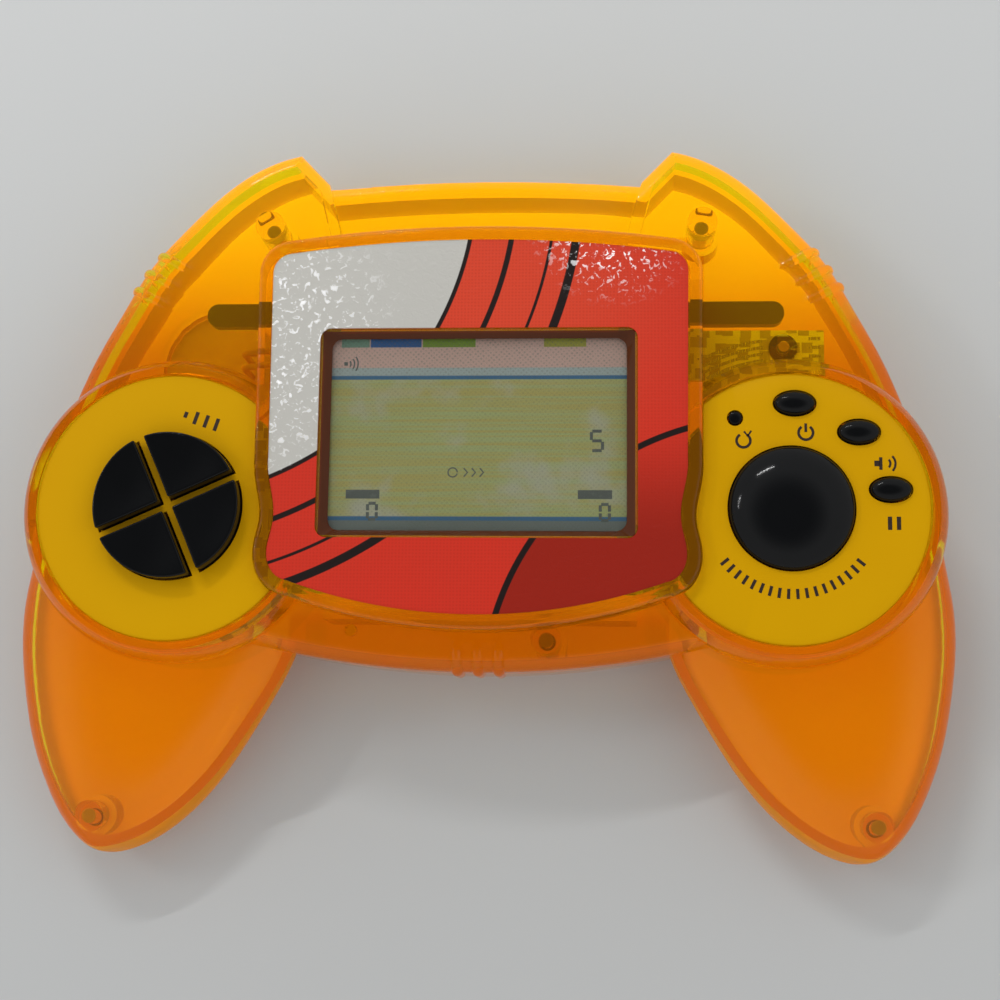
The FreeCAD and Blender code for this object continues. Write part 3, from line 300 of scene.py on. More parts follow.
@dataclass(frozen=True)
class TintedStyrene(Finish):
    """Clear polystyrene with a fluorescent orange dye, injection moulded.

    It gives the eye a glossy skin, deeper where walls stand, and what lies inside shows through it.
    Its colour is paler towards the horns, painted light that falls from that side. The rear half
    scatters more, and level faces carry a painted glow, the rear's strongest, brighter towards the
    horns, as if lit from within. Round the window it is deep brown, painted shade of the recess.
    The fields of two numbers are a middle and a half width, or a start and an end.
    """

    pale: str
    deep: str
    thick: str
    far_painted_glow: str
    near_painted_glow: str
    painted_glow_strength: float
    clearness: float
    # Painted shade: deep brown for the window recess, and less clear there.
    wall: str = "#66300A"
    wall_clearness: float = 0.35
    flow_mm: float = 9.0
    flow_depth_mm: float = 0.15
    # Painted light: rows over which the colour turns pale towards the horns.
    pale_rows: Pair = (20.0, 54.0)
    window_columns: Pair = (0.0, 25.5)
    window_rows: Pair = (8.25, 16.9)
    window_foot: Pair = (16.5, 17.0)
    pod_rim: Pair = (23.6, 1.5)
    lower_columns: Pair = (0.0, 31.0)
    lower_rows: Pair = (-19.5, -21.5)
    rim_side: Pair = (35.0, 2.0)
    rim_side_rows: Pair = (10.5, 29.5)
    rim_top: Pair = (41.0, 1.9)
    rim_top_columns: Pair = (35.0, 34.0)
    level_normals: Pair = (0.3, 0.8)

    def coat(self, on: Canvas, point: Socket) -> dict[str, Any]:
        """Painted light in pale rows and a glow, deeper walls, painted brown shade round the
        window.

        Args:
            on: Canvas that takes the nodes.
            point: Place on the object, in millimetres.

        Returns:
            Inputs of the Principled shader.
        """
        x, y, z = on.add("SeparateXYZ", {"Vector": point})
        aside = on.add("Math", {"operation": "ABSOLUTE", 0: x})[0]
        normal = on.add("TexCoord", {})["Normal"]
        upward = on.add("SeparateXYZ", {"Vector": normal})["Z"]
        # pale is painted light towards the horns; level marks faces turned up, which carry the
        # painted glow.
        pale, lower, below_horns, above_display, level = on.masks(
            (y, self.pale_rows), (y, self.lower_rows), (aside, self.rim_top_columns),
            (z, self.window_foot), (upward, self.level_normals),
        )
        beside = on.band(aside, *self.rim_side)
        walls = [
            on.combined("MULTIPLY", on.band(x, *self.lower_columns), lower),
            on.combined("MULTIPLY", beside, on.band(y, *self.rim_side_rows)),
            on.combined("MULTIPLY", below_horns, on.band(y, *self.rim_top)),
        ]
        for side in (-1, 1):
            walls.append(on.band(on.distance(point, (side * POD_X, POD_Y)), *self.pod_rim))
        window = on.combined(
            "MULTIPLY", on.band(x, *self.window_columns), on.band(y, *self.window_rows),
            above_display,
        )
        clear = {"Value": window, "To Min": self.clearness, "To Max": self.wall_clearness}
        flow = on.add("TexNoise", {"Vector": point, "Scale": 1 / self.flow_mm})["Fac"]
        bump = {"Height": flow, "Distance": self.flow_depth_mm * MM, "Strength": 0.25}
        return {
            # Painted light and shade: paler towards the horns, deep brown round the window recess.
            "Base Color": on.layers(
                self.deep, (pale, self.pale), (on.combined("MAXIMUM", *walls), self.thick),
                (window, self.wall),
            ),
            "Transmission Weight": on.add("MapRange", clear)[0],
            "Roughness": 0.05, "IOR": 1.2,
            "Coat Weight": 0.1, "Coat Roughness": 0.04, "Coat IOR": 1.5,
            # Painted glow on level faces, brighter towards the horns and none round the window; no
            # lamp is in the case.
            "Emission Color": on.layers(
                "#000000",
                (level, on.layers(self.near_painted_glow, (pale, self.far_painted_glow))), (window, "#000000"),
            ),
            "Emission Strength": self.painted_glow_strength,
            "Normal": on.add("Bump", bump)[0],
        }


@dataclass(frozen=True)
class MouldedPlastic(Finish):
    """Moulded plastic: one colour through, with the grain of a sparked mould and a soft sheen.

    A sparked mould's grain is too fine to show, so it is drawn about five times as coarse.
    """

    color: str
    shade: str
    roughness: float
    gloss: float = 0.3
    grain_mm: float = 0.35
    grain_depth_mm: float = 0.01
    mottle_mm: float = 14.0

    def coat(self, on: Canvas, point: Socket) -> dict[str, Any]:
        """A broad mottle of two near tones over a fine grain.

        Args:
            on: Canvas that takes the nodes.
            point: Place on the object, in millimetres.

        Returns:
            Inputs of the Principled shader.
        """
        mottle = {"Vector": point, "Scale": 1 / self.mottle_mm, "Detail": 3.0}
        grain = {"Vector": point, "Scale": 1 / self.grain_mm, "Detail": 4.0}
        bump = {
            "Height": on.add("TexNoise", grain)["Fac"],
            "Distance": self.grain_depth_mm * MM, "Strength": 0.5,
        }
        return {
            "Base Color": on.layers(self.color, (on.add("TexNoise", mottle)["Fac"], self.shade)),
            "Roughness": self.roughness, "IOR": 1.5, "Specular IOR Level": self.gloss,
            "Normal": on.add("Bump", bump)[0],
        }


@dataclass(frozen=True)
class SiliconeRubber(Finish):
    """Moulded silicone rubber: dark, soft sheen, a little dust in its surface."""

    color: str
    dust: str
    dust_mm: float = 2.5
    dust_edge: Pair = (0.5, 0.8)
    dust_depth_mm: float = 0.03

    def coat(self, on: Canvas, point: Socket) -> dict[str, Any]:
        """Dust in patches, over a skin that is a little uneven.

        Args:
            on: Canvas that takes the nodes.
            point: Place on the object, in millimetres.

        Returns:
            Inputs of the Principled shader.
        """
        grime = {"Vector": point, "Scale": 1 / self.dust_mm, "Detail": 5.0}
        dust = on.add("TexNoise", grime)["Fac"]
        mask = on.masks((dust, self.dust_edge))[0]
        bump = {"Height": dust, "Distance": self.dust_depth_mm * MM, "Strength": 0.4}
        return {
            "Base Color": on.layers(self.color, (mask, self.dust)),
            "Roughness": 0.6, "IOR": 1.41, "Sheen Weight": 0.2,
            "Normal": on.add("Bump", bump)[0],
        }


@dataclass(frozen=True)
class ClearSheet(Finish):
    """Clear sheet, cast and polished: it shows what is under it and reflects the lamps."""

    tint: str
    refraction: float
    haze_mm: float = 20.0

    def coat(self, on: Canvas, point: Socket) -> dict[str, Any]:
        """A broad haze of a faint tint.

        Args:
            on: Canvas that takes the nodes.
            point: Place on the object, in millimetres.

        Returns:
            Inputs of the Principled shader.
        """
        haze = on.add("TexNoise", {"Vector": point, "Scale": 1 / self.haze_mm})["Fac"]
        return {
            "Base Color": on.layers(self.tint, (haze, "#FFFFFF")),
            "Transmission Weight": 1.0, "Roughness": 0.02, "IOR": self.refraction,
        }


@dataclass(frozen=True)
class PlainMetal(Finish):
    """Plated or bare metal with fine drawn lines along one axis, which give it a soft glint.

    Such lines are too fine to show, so they are drawn a quarter of a millimetre apart.
    """

    color: str
    roughness: float
    line_mm: float = 0.25
    line_stretch: float = 0.05
    spread: Pair = (0.8, 1.3)

    def coat(self, on: Canvas, point: Socket) -> dict[str, Any]:
        """Drawn lines that vary the roughness.

        Args:
            on: Canvas that takes the nodes.
            point: Place on the object, in millimetres.

        Returns:
            Inputs of the Principled shader.
        """
        across = 1 / self.line_mm
        stretch = {"Vector": point, "Scale": (across, self.line_stretch, across)}
        lines = {"Vector": on.add("Mapping", stretch)[0], "Scale": 1.0}
        spread = {
            "Value": on.add("TexNoise", lines)["Fac"],
            "To Min": self.roughness * self.spread[0], "To Max": self.roughness * self.spread[1],
        }
        return {
            "Base Color": self.color, "Metallic": 1.0,
            "Roughness": on.add("MapRange", spread)[0],
        }


@dataclass(frozen=True)
class EmbossedFoil(Finish):
    """Polyester label, silver foil backed, printed in reds and embossed with a fine crackle.

    Painted white glints, which also glow a little, lie where the crackle is high near the bare
    foil's left edge and near the red's top corner; the printed part is glossy.
    The print sweeps round one place beyond each of two corners. Lines are a radius about it and a
    half width; a painted glint is a place, and the radii where it starts and where it is full. The
    print's dots are too fine to show, so they are drawn about three times as coarse.
    """

    name: str = "printed_embossed_foil"
    silver: str = "#E8E6DE"
    painted_glint: str = "#FFFFFF"
    red: str = "#DE3420"
    warm_red: str = "#E8492C"
    crimson: str = "#A3200C"
    line: str = "#1C0F0C"
    sweep_at: Pair = (-54.0, 50.0)
    sweep_lines: tuple[Pair, ...] = ((60.0, 0.45), (66.5, 0.25), (70.5, 0.7))
    bare_edge: Pair = (53.2, 53.0)
    bare_line: Pair = (53.3, 0.35)
    bare_metal: float = 0.35
    ripple_at: Pair = (46.0, -34.0)
    ripple_lines: tuple[Pair, ...] = ((22.0, 0.6), (44.5, 0.5))
    crimson_edge: Pair = (44.6, 44.4)
    crimson_rows: Pair = (12.0, -10.0)
    warm_at: Pair = (6.0, 34.0)
    warm_edge: Pair = (40.0, 6.0)
    # Painted glints: places and radii near the bare foil's left edge and the red's top corner.
    bare_painted_glint: tuple[Pair, Pair] = ((-38.0, 24.0), (30.0, 8.0))
    red_painted_glint: tuple[Pair, Pair] = ((22.0, 44.0), (16.0, 4.0))
    painted_glint_strength: float = 0.4
    crackle_mm: float = 1.1
    crackle_depth_mm: float = 0.12
    crackle_edge: Pair = (0.56, 0.63)
    dot_mm: float = 0.55
    dot_edge: Pair = (0.42, 0.30)
    dot_share: float = 0.16

    def coat(self, on: Canvas, point: Socket) -> dict[str, Any]:
        """Three sweeping fields, dark lines that follow their edges, and painted glints on the
        crackle.

        Args:
            on: Canvas that takes the nodes.
            point: Place on the object, in millimetres.

        Returns:
            Inputs of the Principled shader.
        """
        sweep, ripple, warmth, near_left, near_corner = (
            on.distance(point, at)
            for at in (
                self.sweep_at, self.ripple_at, self.warm_at, self.bare_painted_glint[0], self.red_painted_glint[0]
            )
        )
        y = on.add("SeparateXYZ", {"Vector": point})["Y"]
        print_dots = {"Vector": point, "Scale": 1 / self.dot_mm, "Randomness": 0.0}
        emboss = {
            "Vector": point, "Scale": 1 / self.crackle_mm, "Detail": 5.0, "Roughness": 0.6,
            "Distortion": 1.0,
        }
        crackle = on.add("TexNoise", emboss)["Fac"]
        bare, warm, inner, deeper, left, corner, bright, dot = on.masks(
            (sweep, self.bare_edge), (warmth, self.warm_edge), (ripple, self.crimson_edge),
            (y, self.crimson_rows), (near_left, self.bare_painted_glint[1]),
            (near_corner, self.red_painted_glint[1]), (crackle, self.crackle_edge),
            (on.add("TexVoronoi", print_dots)["Distance"], self.dot_edge),
        )
        lines = [on.band(sweep, *line) for line in self.sweep_lines]
        lines += [on.band(ripple, *line) for line in self.ripple_lines]
        # Painted glints: white, with a little emission, where the crackle is high near those
        # places.
        lit = on.combined("MAXIMUM", on.combined("MULTIPLY", bare, left), corner)
        painted_glint = on.combined("MULTIPLY", bright, lit)
        bump = {"Height": crackle, "Distance": self.crackle_depth_mm * MM, "Strength": 0.4}
        return {
            "Base Color": on.layers(
                self.red, (warm, self.warm_red),
                (on.combined("MULTIPLY", inner, deeper), self.crimson),
                (on.combined("MULTIPLY", dot, self.dot_share), self.crimson),
                *[(line, self.line) for line in lines],
                (bare, self.silver), (on.band(sweep, *self.bare_line), self.line),
                (painted_glint, self.painted_glint),
            ),
            "Emission Color": on.layers("#000000", (painted_glint, self.painted_glint)),
            "Emission Strength": self.painted_glint_strength,
            "Metallic": on.combined("MULTIPLY", bare, self.bare_metal),
            "Roughness": 0.3, "Coat Weight": 0.3, "Coat Roughness": 0.08,
            "Normal": on.add("Bump", bump)[0],
        }


@dataclass(frozen=True)
class DisplayPrint(Finish):
    """Reflective display film, screen printed in bands: matt, greenish, with a fine woven dot.

    It gives the eye a flat tan-green field between two blue lines, under a dotted pale band. The
    bands' edges are where a band starts and where it is full; lines are a middle and a half width.
    The weave of dots is drawn about three times as coarse as the real one, so that it shows.
    """

    name: str = "screen_printed_display_film"
    field: str = "#CCD894"
    board: str = "#D8CE7C"
    cloud: str = "#DADCC4"
    stand: str = "#F2CFC2"
    dot: str = "#82826F"
    rail: str = "#C6D6D4"
    line: str = "#4E86B4"
    foot: str = "#8A9690"
    foot_edge: Pair = (-5.7, -5.9)
    foot_line: Pair = (-5.55, 0.34)
    rail_edge: Pair = (17.9, 18.0)
    rail_line: Pair = (17.75, 0.32)
    stand_edge: Pair = (19.35, 19.45)
    block_edge: Pair = (22.8, 22.9)
    blocks: tuple[tuple[float, float, str], ...] = (
        (-22.7, -18.1, "#8DB7A0"), (-17.9, -9.5, "#3F78C0"), (-9.3, -0.6, "#93B83E"),
        (10.6, 17.5, "#C3C34E"),
    )
    weave_mm: float = 0.6
    weave_degrees: float = 40.0
    dot_edge: Pair = (0.5, 0.2)
    dot_rows: Pair = (18.0, 19.4)
    dot_shares: Pair = (0.28, 0.5)
    plank_mm: float = 0.55
    plank_stretch: float = 0.03
    plank_edge: Pair = (0.35, 0.65)
    cloud_mm: float = 9.0
    cloud_edge: Pair = (0.48, 0.75)

    def coat(self, on: Canvas, point: Socket) -> dict[str, Any]:
        """Planks and clouds under bands across the film, and a woven dot over all of it.

        Args:
            on: Canvas that takes the nodes.
            point: Place on the object, in millimetres.

        Returns:
            Inputs of the Principled shader.
        """
        x, y, _ = on.add("SeparateXYZ", {"Vector": point})
        long = {"Vector": point, "Scale": (self.plank_stretch, 1 / self.plank_mm, 1.0)}
        planks = {"Vector": on.add("Mapping", long)[0], "Scale": 1.0, "Detail": 3.0}
        clouds = {"Vector": point, "Scale": 1 / self.cloud_mm, "Detail": 3.0}
        turn = {"Vector": point, "Rotation": (0.0, 0.0, math.radians(self.weave_degrees))}
        weave = {
            "Vector": on.add("Mapping", turn)[0], "Scale": 1 / self.weave_mm, "Randomness": 0.1
        }
        plank, cloud, foot, rail, stand, top, dot = on.masks(
            (on.add("TexNoise", planks)["Fac"], self.plank_edge),
            (on.add("TexNoise", clouds)["Fac"], self.cloud_edge),
            (y, self.foot_edge), (y, self.rail_edge), (y, self.stand_edge), (y, self.block_edge),
            (on.add("TexVoronoi", weave)["Distance"], self.dot_edge),
        )
        blocks = []
        for start, end, color in self.blocks:
            across = on.band(x, (start + end) / 2, (end - start) / 2)
            blocks.append((on.combined("MULTIPLY", across, top), color))
        strength = {
            VALUE: y, START: self.dot_rows[0], END: self.dot_rows[1],
            "To Min": self.dot_shares[0], "To Max": self.dot_shares[1],
        }
        woven = on.combined("MULTIPLY", dot, on.add("MapRange", strength)[0])
        return {
            "Base Color": on.layers(
                self.field, (plank, self.board), (cloud, self.cloud),
                (foot, self.foot), (on.band(y, *self.foot_line), self.line),
                (rail, self.rail), (on.band(y, *self.rail_line), self.line),
                (stand, self.stand), *blocks, (woven, self.dot),
            ),
            "Roughness": 0.45,
        }


@dataclass(frozen=True)
class LacqueredBoard(Finish):
    """Etched phenolic board under solder lacquer: tracks shine through it paler.

    The tracks are drawn a few times as coarse as real ones, so that they show through the case.
    """

    name: str = "lacquered_board"
    lacquer: str = "#B4A684"
    track: str = "#F4F0E4"
    track_mm: float = 2.4
    track_edge: Pair = (0.34, 0.4)
    track_depth_mm: float = 0.04

    def coat(self, on: Canvas, point: Socket) -> dict[str, Any]:
        """A maze of square-cornered cells, whose rims are the tracks.

        Args:
            on: Canvas that takes the nodes.
            point: Place on the object, in millimetres.

        Returns:
            Inputs of the Principled shader.
        """
        cells = {
            "Vector": point, "distance": "CHEBYCHEV", "Scale": 1 / self.track_mm, "Randomness": 0.7
        }
        maze = on.add("TexVoronoi", cells)["Distance"]
        tracks = on.masks((maze, self.track_edge))[0]
        bump = {"Height": maze, "Distance": self.track_depth_mm * MM, "Strength": 0.3}
        return {
            "Base Color": on.layers(self.lacquer, (tracks, self.track)),
            "Roughness": 0.3, "IOR": 1.55,
            "Normal": on.add("Bump", bump)[0],
        }


@dataclass(frozen=True)
class CellJacket(Finish):
    """Shrink-printed steel jacket of a dry cell: a dark field, a copper-coloured end."""

    name: str = "printed_cell_jacket"
    dark: str = "#22252B"
    copper: str = "#B0763A"
    worn: str = "#8A8A8A"
    split_edge: Pair = (9.0, 9.3)
    wear_mm: float = 2.5
    wear_share: float = 0.2

    def coat(self, on: Canvas, point: Socket) -> dict[str, Any]:
        """Two fields across the cell's length, a little worn.

        Args:
            on: Canvas that takes the nodes.
            point: Place on the object, in millimetres.

        Returns:
            Inputs of the Principled shader.
        """
        x = on.add("SeparateXYZ", {"Vector": point})["X"]
        size = on.add("Math", {"operation": "ABSOLUTE", 0: x})[0]
        wear = {"Vector": point, "Scale": 1 / self.wear_mm, "Detail": 4.0}
        worn = on.combined("MULTIPLY", on.add("TexNoise", wear)["Fac"], self.wear_share)
        end = on.masks((size, self.split_edge))[0]
        return {
            "Base Color": on.layers(self.dark, (end, self.copper), (worn, self.worn)),
            "Metallic": 0.6, "Roughness": 0.28,
        }


@dataclass(frozen=True)
class PrintedInk(Finish):
    """Pad-printed ink: matt and even, a little thin where the pad lifted."""

    color: str
    thin: str
    patch_mm: float = 0.8
    patch_edge: Pair = (0.5, 0.8)

    def coat(self, on: Canvas, point: Socket) -> dict[str, Any]:
        """Patches where the ink is thin.

        Args:
            on: Canvas that takes the nodes.
            point: Place on the object, in millimetres.

        Returns:
            Inputs of the Principled shader.
        """
        patch = on.add("TexNoise", {"Vector": point, "Scale": 1 / self.patch_mm, "Detail": 3.0})
        mask = on.masks((patch["Fac"], self.patch_edge))[0]
        return {"Base Color": on.layers(self.color, (mask, self.thin)), "Roughness": 0.55}


@dataclass(frozen=True)
class PaintedBoard(Finish):
    """Backdrop board in matt paint, with painted light: paler at its far side, unevenly lit by the
    room.
    """

    name: str = "matt_painted_board"
    near: str = "#CBCDCD"
    far: str = "#DDDFDF"
    fade_rows: Pair = (-120.0, 150.0)
    cloud_mm: float = 60.0
    cloud_shift_mm: float = 24.0

    def coat(self, on: Canvas, point: Socket) -> dict[str, Any]:
        """Painted light: a fade along y, paler at the far side, shifted here and there by broad
        clouds.

        Args:
            on: Canvas that takes the nodes.
            point: Place on the object, in millimetres.

        Returns:
            Inputs of the Principled shader.
        """
        y = on.add("SeparateXYZ", {"Vector": point})["Y"]
        cloud = on.add("TexNoise", {"Vector": point, "Scale": 1 / self.cloud_mm, "Detail": 3.0})
        shift = {"operation": "MULTIPLY_ADD", 0: cloud["Fac"], 1: self.cloud_shift_mm, 2: y}
        # Painted light: the floor turns paler towards its far side.
        fade = on.masks((on.add("Math", shift)[0], self.fade_rows))[0]
        return {"Base Color": on.layers(self.near, (fade, self.far)), "Roughness": 0.6}


class Paint(Enum):
    """The finish of each kind of piece, and the record's slot for it."""

    # The glow of both shells is painted light; the rear's is the stronger.
    FRONT = TintedStyrene(
        "clear_orange_styrene", pale="#FFFC28", deep="#FFE618", thick="#F8D200",
        far_painted_glow="#FF9800", near_painted_glow="#FF8000", painted_glow_strength=0.05, clearness=0.95,
    ), Slot.CASE
    REAR = TintedStyrene(
        "clouded_orange_styrene", pale="#FFCC00", deep="#F0A000", thick="#E09A00",
        far_painted_glow="#FFCC00", near_painted_glow="#AC6600", painted_glow_strength=0.46, clearness=0.4,
    ), Slot.CASE
    YELLOW = MouldedPlastic("yellow_abs", "#E4AC00", "#DFA500", 0.4, gloss=0.1), Slot.YELLOW
    BLACK = MouldedPlastic("black_abs", "#0C0D0E", "#131416", 0.08, gloss=0.13), Slot.BLACK
    FOIL = EmbossedFoil(), Slot.LABEL
    ACRYLIC = ClearSheet("clear_acrylic_sheet", "#F7F7F2", refraction=1.49), Slot.WINDOW
    GLASS = ClearSheet("display_soda_glass", "#E9F2E6", refraction=1.52), Slot.GLASS
    FILM = DisplayPrint(), Slot.FILM
    RUBBER = SiliconeRubber("dark_silicone", "#17171A", "#3A3A3C"), Slot.RUBBER
    BOARD = LacqueredBoard(), Slot.BOARD
    RESIN = MouldedPlastic("black_epoxy", "#0E0E0F", "#19191A", 0.35), Slot.RESIN
    SLEEVE = MouldedPlastic("shrink_sleeve", "#15203A", "#101A30", 0.4), Slot.SLEEVE
    STEEL = PlainMetal("yellow_passivated_steel", "#D99A5E", roughness=0.35), Slot.STEEL
    TIN = PlainMetal("tinned_copper", "#E4E0D2", roughness=0.25), Slot.SPRING
    BRASS = MouldedPlastic("fired_ceramic_on_brass", "#F2B25A", "#EAA64C", 0.4), Slot.BRASS
    JACKET = CellJacket(), Slot.JACKET
    WIRE = MouldedPlastic("orange_pvc", "#E89A20", "#DE8C1A", 0.45), Slot.WIRE
    INK = PrintedInk("brown_pad_ink", "#281607", "#3C240E"), Slot.YELLOW
    CRYSTAL = PrintedInk("display_dark_segment", "#727A74", "#828A82"), Slot.FILM
    TRACK = PlainMetal("tinned_copper", "#E4E0D2", roughness=0.25), Slot.BOARD

    def material(self) -> bpy.types.Material:
        """The finish's one material, made when it is first asked for."""
        finish, _ = self.value
        return bpy.data.materials.get(finish.name) or finish.make()


# Shapes worked out with numpy.


@dataclass
class Surface:
    """Points in millimetres and the faces between them."""

    points: np.ndarray
    faces: list[list[int]]

    def joined(self, other: "Surface") -> "Surface":
        """This surface and another one as a single set of points and faces.

        Args:
            other: The surface to add.

        Returns:
            The surface of both.
        """
        shift = len(self.points)
        faces = self.faces + [[i + shift for i in face] for face in other.faces]
        return Surface(np.vstack([self.points, other.points]), faces)

    def outward(self) -> "Surface":
        """The surface with its faces turned so that the volume it encloses counts as positive.

        The volume is a sixth of the sum, over fans of triangles, of the first corner's dot product
        with the cross product of the other two.

        Returns:
            This surface, or a copy with every face turned over.
        """
        total = 0.0
        for size in {len(face) for face in self.faces}:
            corners = self.points[np.array([face for face in self.faces if len(face) == size])]
            for step in range(1, size - 1):
                cross = np.cross(corners[:, step], corners[:, step + 1])
                total += float((corners[:, 0] * cross).sum())
        if total < 0:
            return Surface(self.points, [face[::-1] for face in self.faces])
        return self


def rings_surface(rings: np.ndarray) -> Surface:
    """A skin over closed rings of points, with a pole in the middle of the first and the last.

    Each quad joins point i and i + 1 of one ring to the same two of the next, counted round the
    ring; each pole is the mean of its ring, joined to it by triangles.

    Args:
        rings: Points as an array of rows, points per row and three coordinates.

    Returns:
        The surface.
    """
    rows, count = rings.shape[:2]
    row = np.arange(rows - 1)[:, None] * count
    here = np.arange(count)[None, :]
    after = (here + 1) % count
    quads = np.stack([row + here, row + after, row + count + after, row + count + here], -1)
    points = rings.reshape(-1, 3)
    poles = np.stack([rings[0].mean(0), rings[-1].mean(0)])
    first, last = len(points), len(points) + 1
    low = np.stack([after[0], here[0], np.full(count, first)], -1)
    base = (rows - 1) * count
    high = np.stack([base + here[0], base + after[0], np.full(count, last)], -1)
    faces = quads.reshape(-1, 4).tolist() + low.tolist() + high.tolist()
    return Surface(np.vstack([points, poles]), faces)


def ribbon(path: np.ndarray, width: float, low: float, high: float) -> Surface:
    """A flat strip of even width along a plan path, with its four-cornered section carried along.

    The section's corners lie half a width to each side of the path, along the normal that is the
    path's direction turned by a quarter, at the two heights.

    Args:
        path: Plan points in order.
        width: Full width.
        low: Height of the underside.
        high: Height of the top.

    Returns:
        A closed strip.
    """
    along = np.gradient(path, axis=0)
    along = along / np.linalg.norm(along, axis=1)[:, None]
    side = np.stack([-along[:, 1], along[:, 0]], -1) * width / 2
    left, right = path + side, path - side
    level = np.ones(len(path))
    corners = ((left, low), (right, low), (right, high), (left, high))
    return rings_surface(np.stack([np.column_stack([plan, level * z]) for plan, z in corners], 1))


def arc_path(
    centre: Pair, radius: float, start: float, end: float, count: int = 24
) -> np.ndarray:
    """Plan points on a circle from one angle to another, in degrees."""
    angle = np.radians(np.linspace(start, end, count))
    return np.column_stack([centre[0] + radius * np.cos(angle), centre[1] + radius * np.sin(angle)])


def turned_about(points: np.ndarray, centre: Pair, degrees: float) -> np.ndarray:
    """Plan points turned about a centre.

    Args:
        points: Plan points.
        centre: Point to turn them about.
        degrees: Angle, anticlockwise as seen from above.

    Returns:
        The turned points: their offsets from the centre times the turn's matrix.
    """
    angle = math.radians(degrees)
    spin = np.array([[math.cos(angle), -math.sin(angle)], [math.sin(angle), math.cos(angle)]])
    return (points - np.array(centre)) @ spin.T + np.array(centre)


def make_piece(
    name: str, surface: Surface, body: Body, paint: Paint, replaces: Sequence[str] = ()
) -> bpy.types.Object:
    """Put a surface into the scene as a piece of the object.

    Args:
        name: Piece name.
        surface: Its closed surface, in millimetres.
        body: Body it rides on.
        paint: Its finish and slot.
        replaces: Frame nodes that it stands for.

    Returns:
        The object.
    """
    mesh = bpy.data.meshes.new(name)
    mesh.from_pydata((surface.points * MM).tolist(), [], surface.faces)
    mesh.polygons.foreach_set("use_smooth", np.ones(len(mesh.polygons), bool))
    mesh.update()
    mesh.set_sharp_from_angle(angle=math.radians(SHARP_PIECE_DEGREES))
    mesh.materials.append(paint.material())
    piece = bpy.data.objects.new(name, mesh)
    bpy.context.scene.collection.objects.link(piece)
    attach(piece, body.value)
    if replaces:
        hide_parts(*replaces)
    LOG.info("%s: %d faces, rides on %s", name, len(mesh.polygons), body.value)
    return piece


def dress(frame: dict[str, Any], paint: Paint, *names: str) -> None:
    """Give frame nodes a material and smooth shading over their shallow edges.

    Their loose triangles are welded and split again at sharp edges by modifiers.

    Args:
        paint: Finish and slot of all of them.
        names: Node names.
    """
    finish, slot = paint.value
    for name in names:
        node = frame["nodes"][name]
        mesh = node.data
        normals = mesh.attributes.get("custom_normal")
        if normals is not None:
            mesh.attributes.remove(normals)
        mesh.polygons.foreach_set("use_smooth", np.ones(len(mesh.polygons), bool))
        mesh.materials.clear()
        mesh.materials.append(paint.material())
        weld = node.modifiers.new("weld", "WELD")
        weld.merge_threshold = WELD_M
        split = node.modifiers.new("sharp_edges", "EDGE_SPLIT")
        split.split_angle = math.radians(SHARP_NODE_DEGREES)
        LOG.info("%s: frame node in %s", name, finish.name)


# Sub-assemblies.


@dataclass
class Key:
    """One key: a lip under the pod wall, a straight stem, a rounded edge and a shaped top.

    The top is swept from the outline to the middle: each inner ring is the outline drawn towards
    its mean by a share, and its height comes from the crown.
    """

    name: str
    outline: np.ndarray
    edge_round: float
    lip: float = 0.6
    edge_rings: int = 7
    inner_rings: int = 14

    def crown(self, x: np.ndarray, y: np.ndarray) -> np.ndarray:
        """Height of the top at plan points."""
        raise NotImplementedError

    def surface(self) -> Surface:
        """The key's skin from the lip's underside to the middle of the top.

        Returns:
            The closed skin, in millimetres.
        """
        along = np.roll(self.outline, -1, 0) - np.roll(self.outline, 1, 0)
        along = along / np.linalg.norm(along, axis=1)[:, None]
        out = np.stack([along[:, 1], -along[:, 0]], -1)
        rings = []
        for grow, z in ((self.lip, FLANGE_LOW_Z), (self.lip, FLANGE_HIGH_Z), (0.0, FLANGE_HIGH_Z)):
            plan = self.outline + out * grow
            rings.append(np.column_stack([plan, np.full(len(plan), z)]))
        for turn in np.linspace(0, math.pi / 2, self.edge_rings):
            plan = self.outline - out * self.edge_round * (1 - math.cos(turn))
            drop = self.edge_round * (1 - math.sin(turn))
            rings.append(np.column_stack([plan, self.crown(plan[:, 0], plan[:, 1]) - drop]))
        rim = self.outline - out * self.edge_round
        middle = rim.mean(0)
        for share in np.linspace(0, 1, self.inner_rings + 1)[1:-1]:
            plan = rim + (middle - rim) * share
            rings.append(np.column_stack([plan, self.crown(plan[:, 0], plan[:, 1])]))
        built = rings_surface(np.stack(rings))
        built.points[-1] = (middle[0], middle[1], self.crown(middle[:1], middle[1:])[0])
        return built.outward()


@dataclass
class QuarterKey(Key):
    """A quarter of the direction pad with a broad shallow dish for the thumb."""

    top: float = 26.5
    dish_depth: float = 0.5
    dish_reach: float = 8.0
    dish_place: Pair = (0.0, 0.0)

    def crown(self, x: np.ndarray, y: np.ndarray) -> np.ndarray:
        """Flat top less a dish, whose depth falls as the square of one less the squared share."""
        far = (x - self.dish_place[0]) ** 2 + (y - self.dish_place[1]) ** 2
        return self.top - self.dish_depth * np.clip(1 - far / self.dish_reach ** 2, 0, 1) ** 2


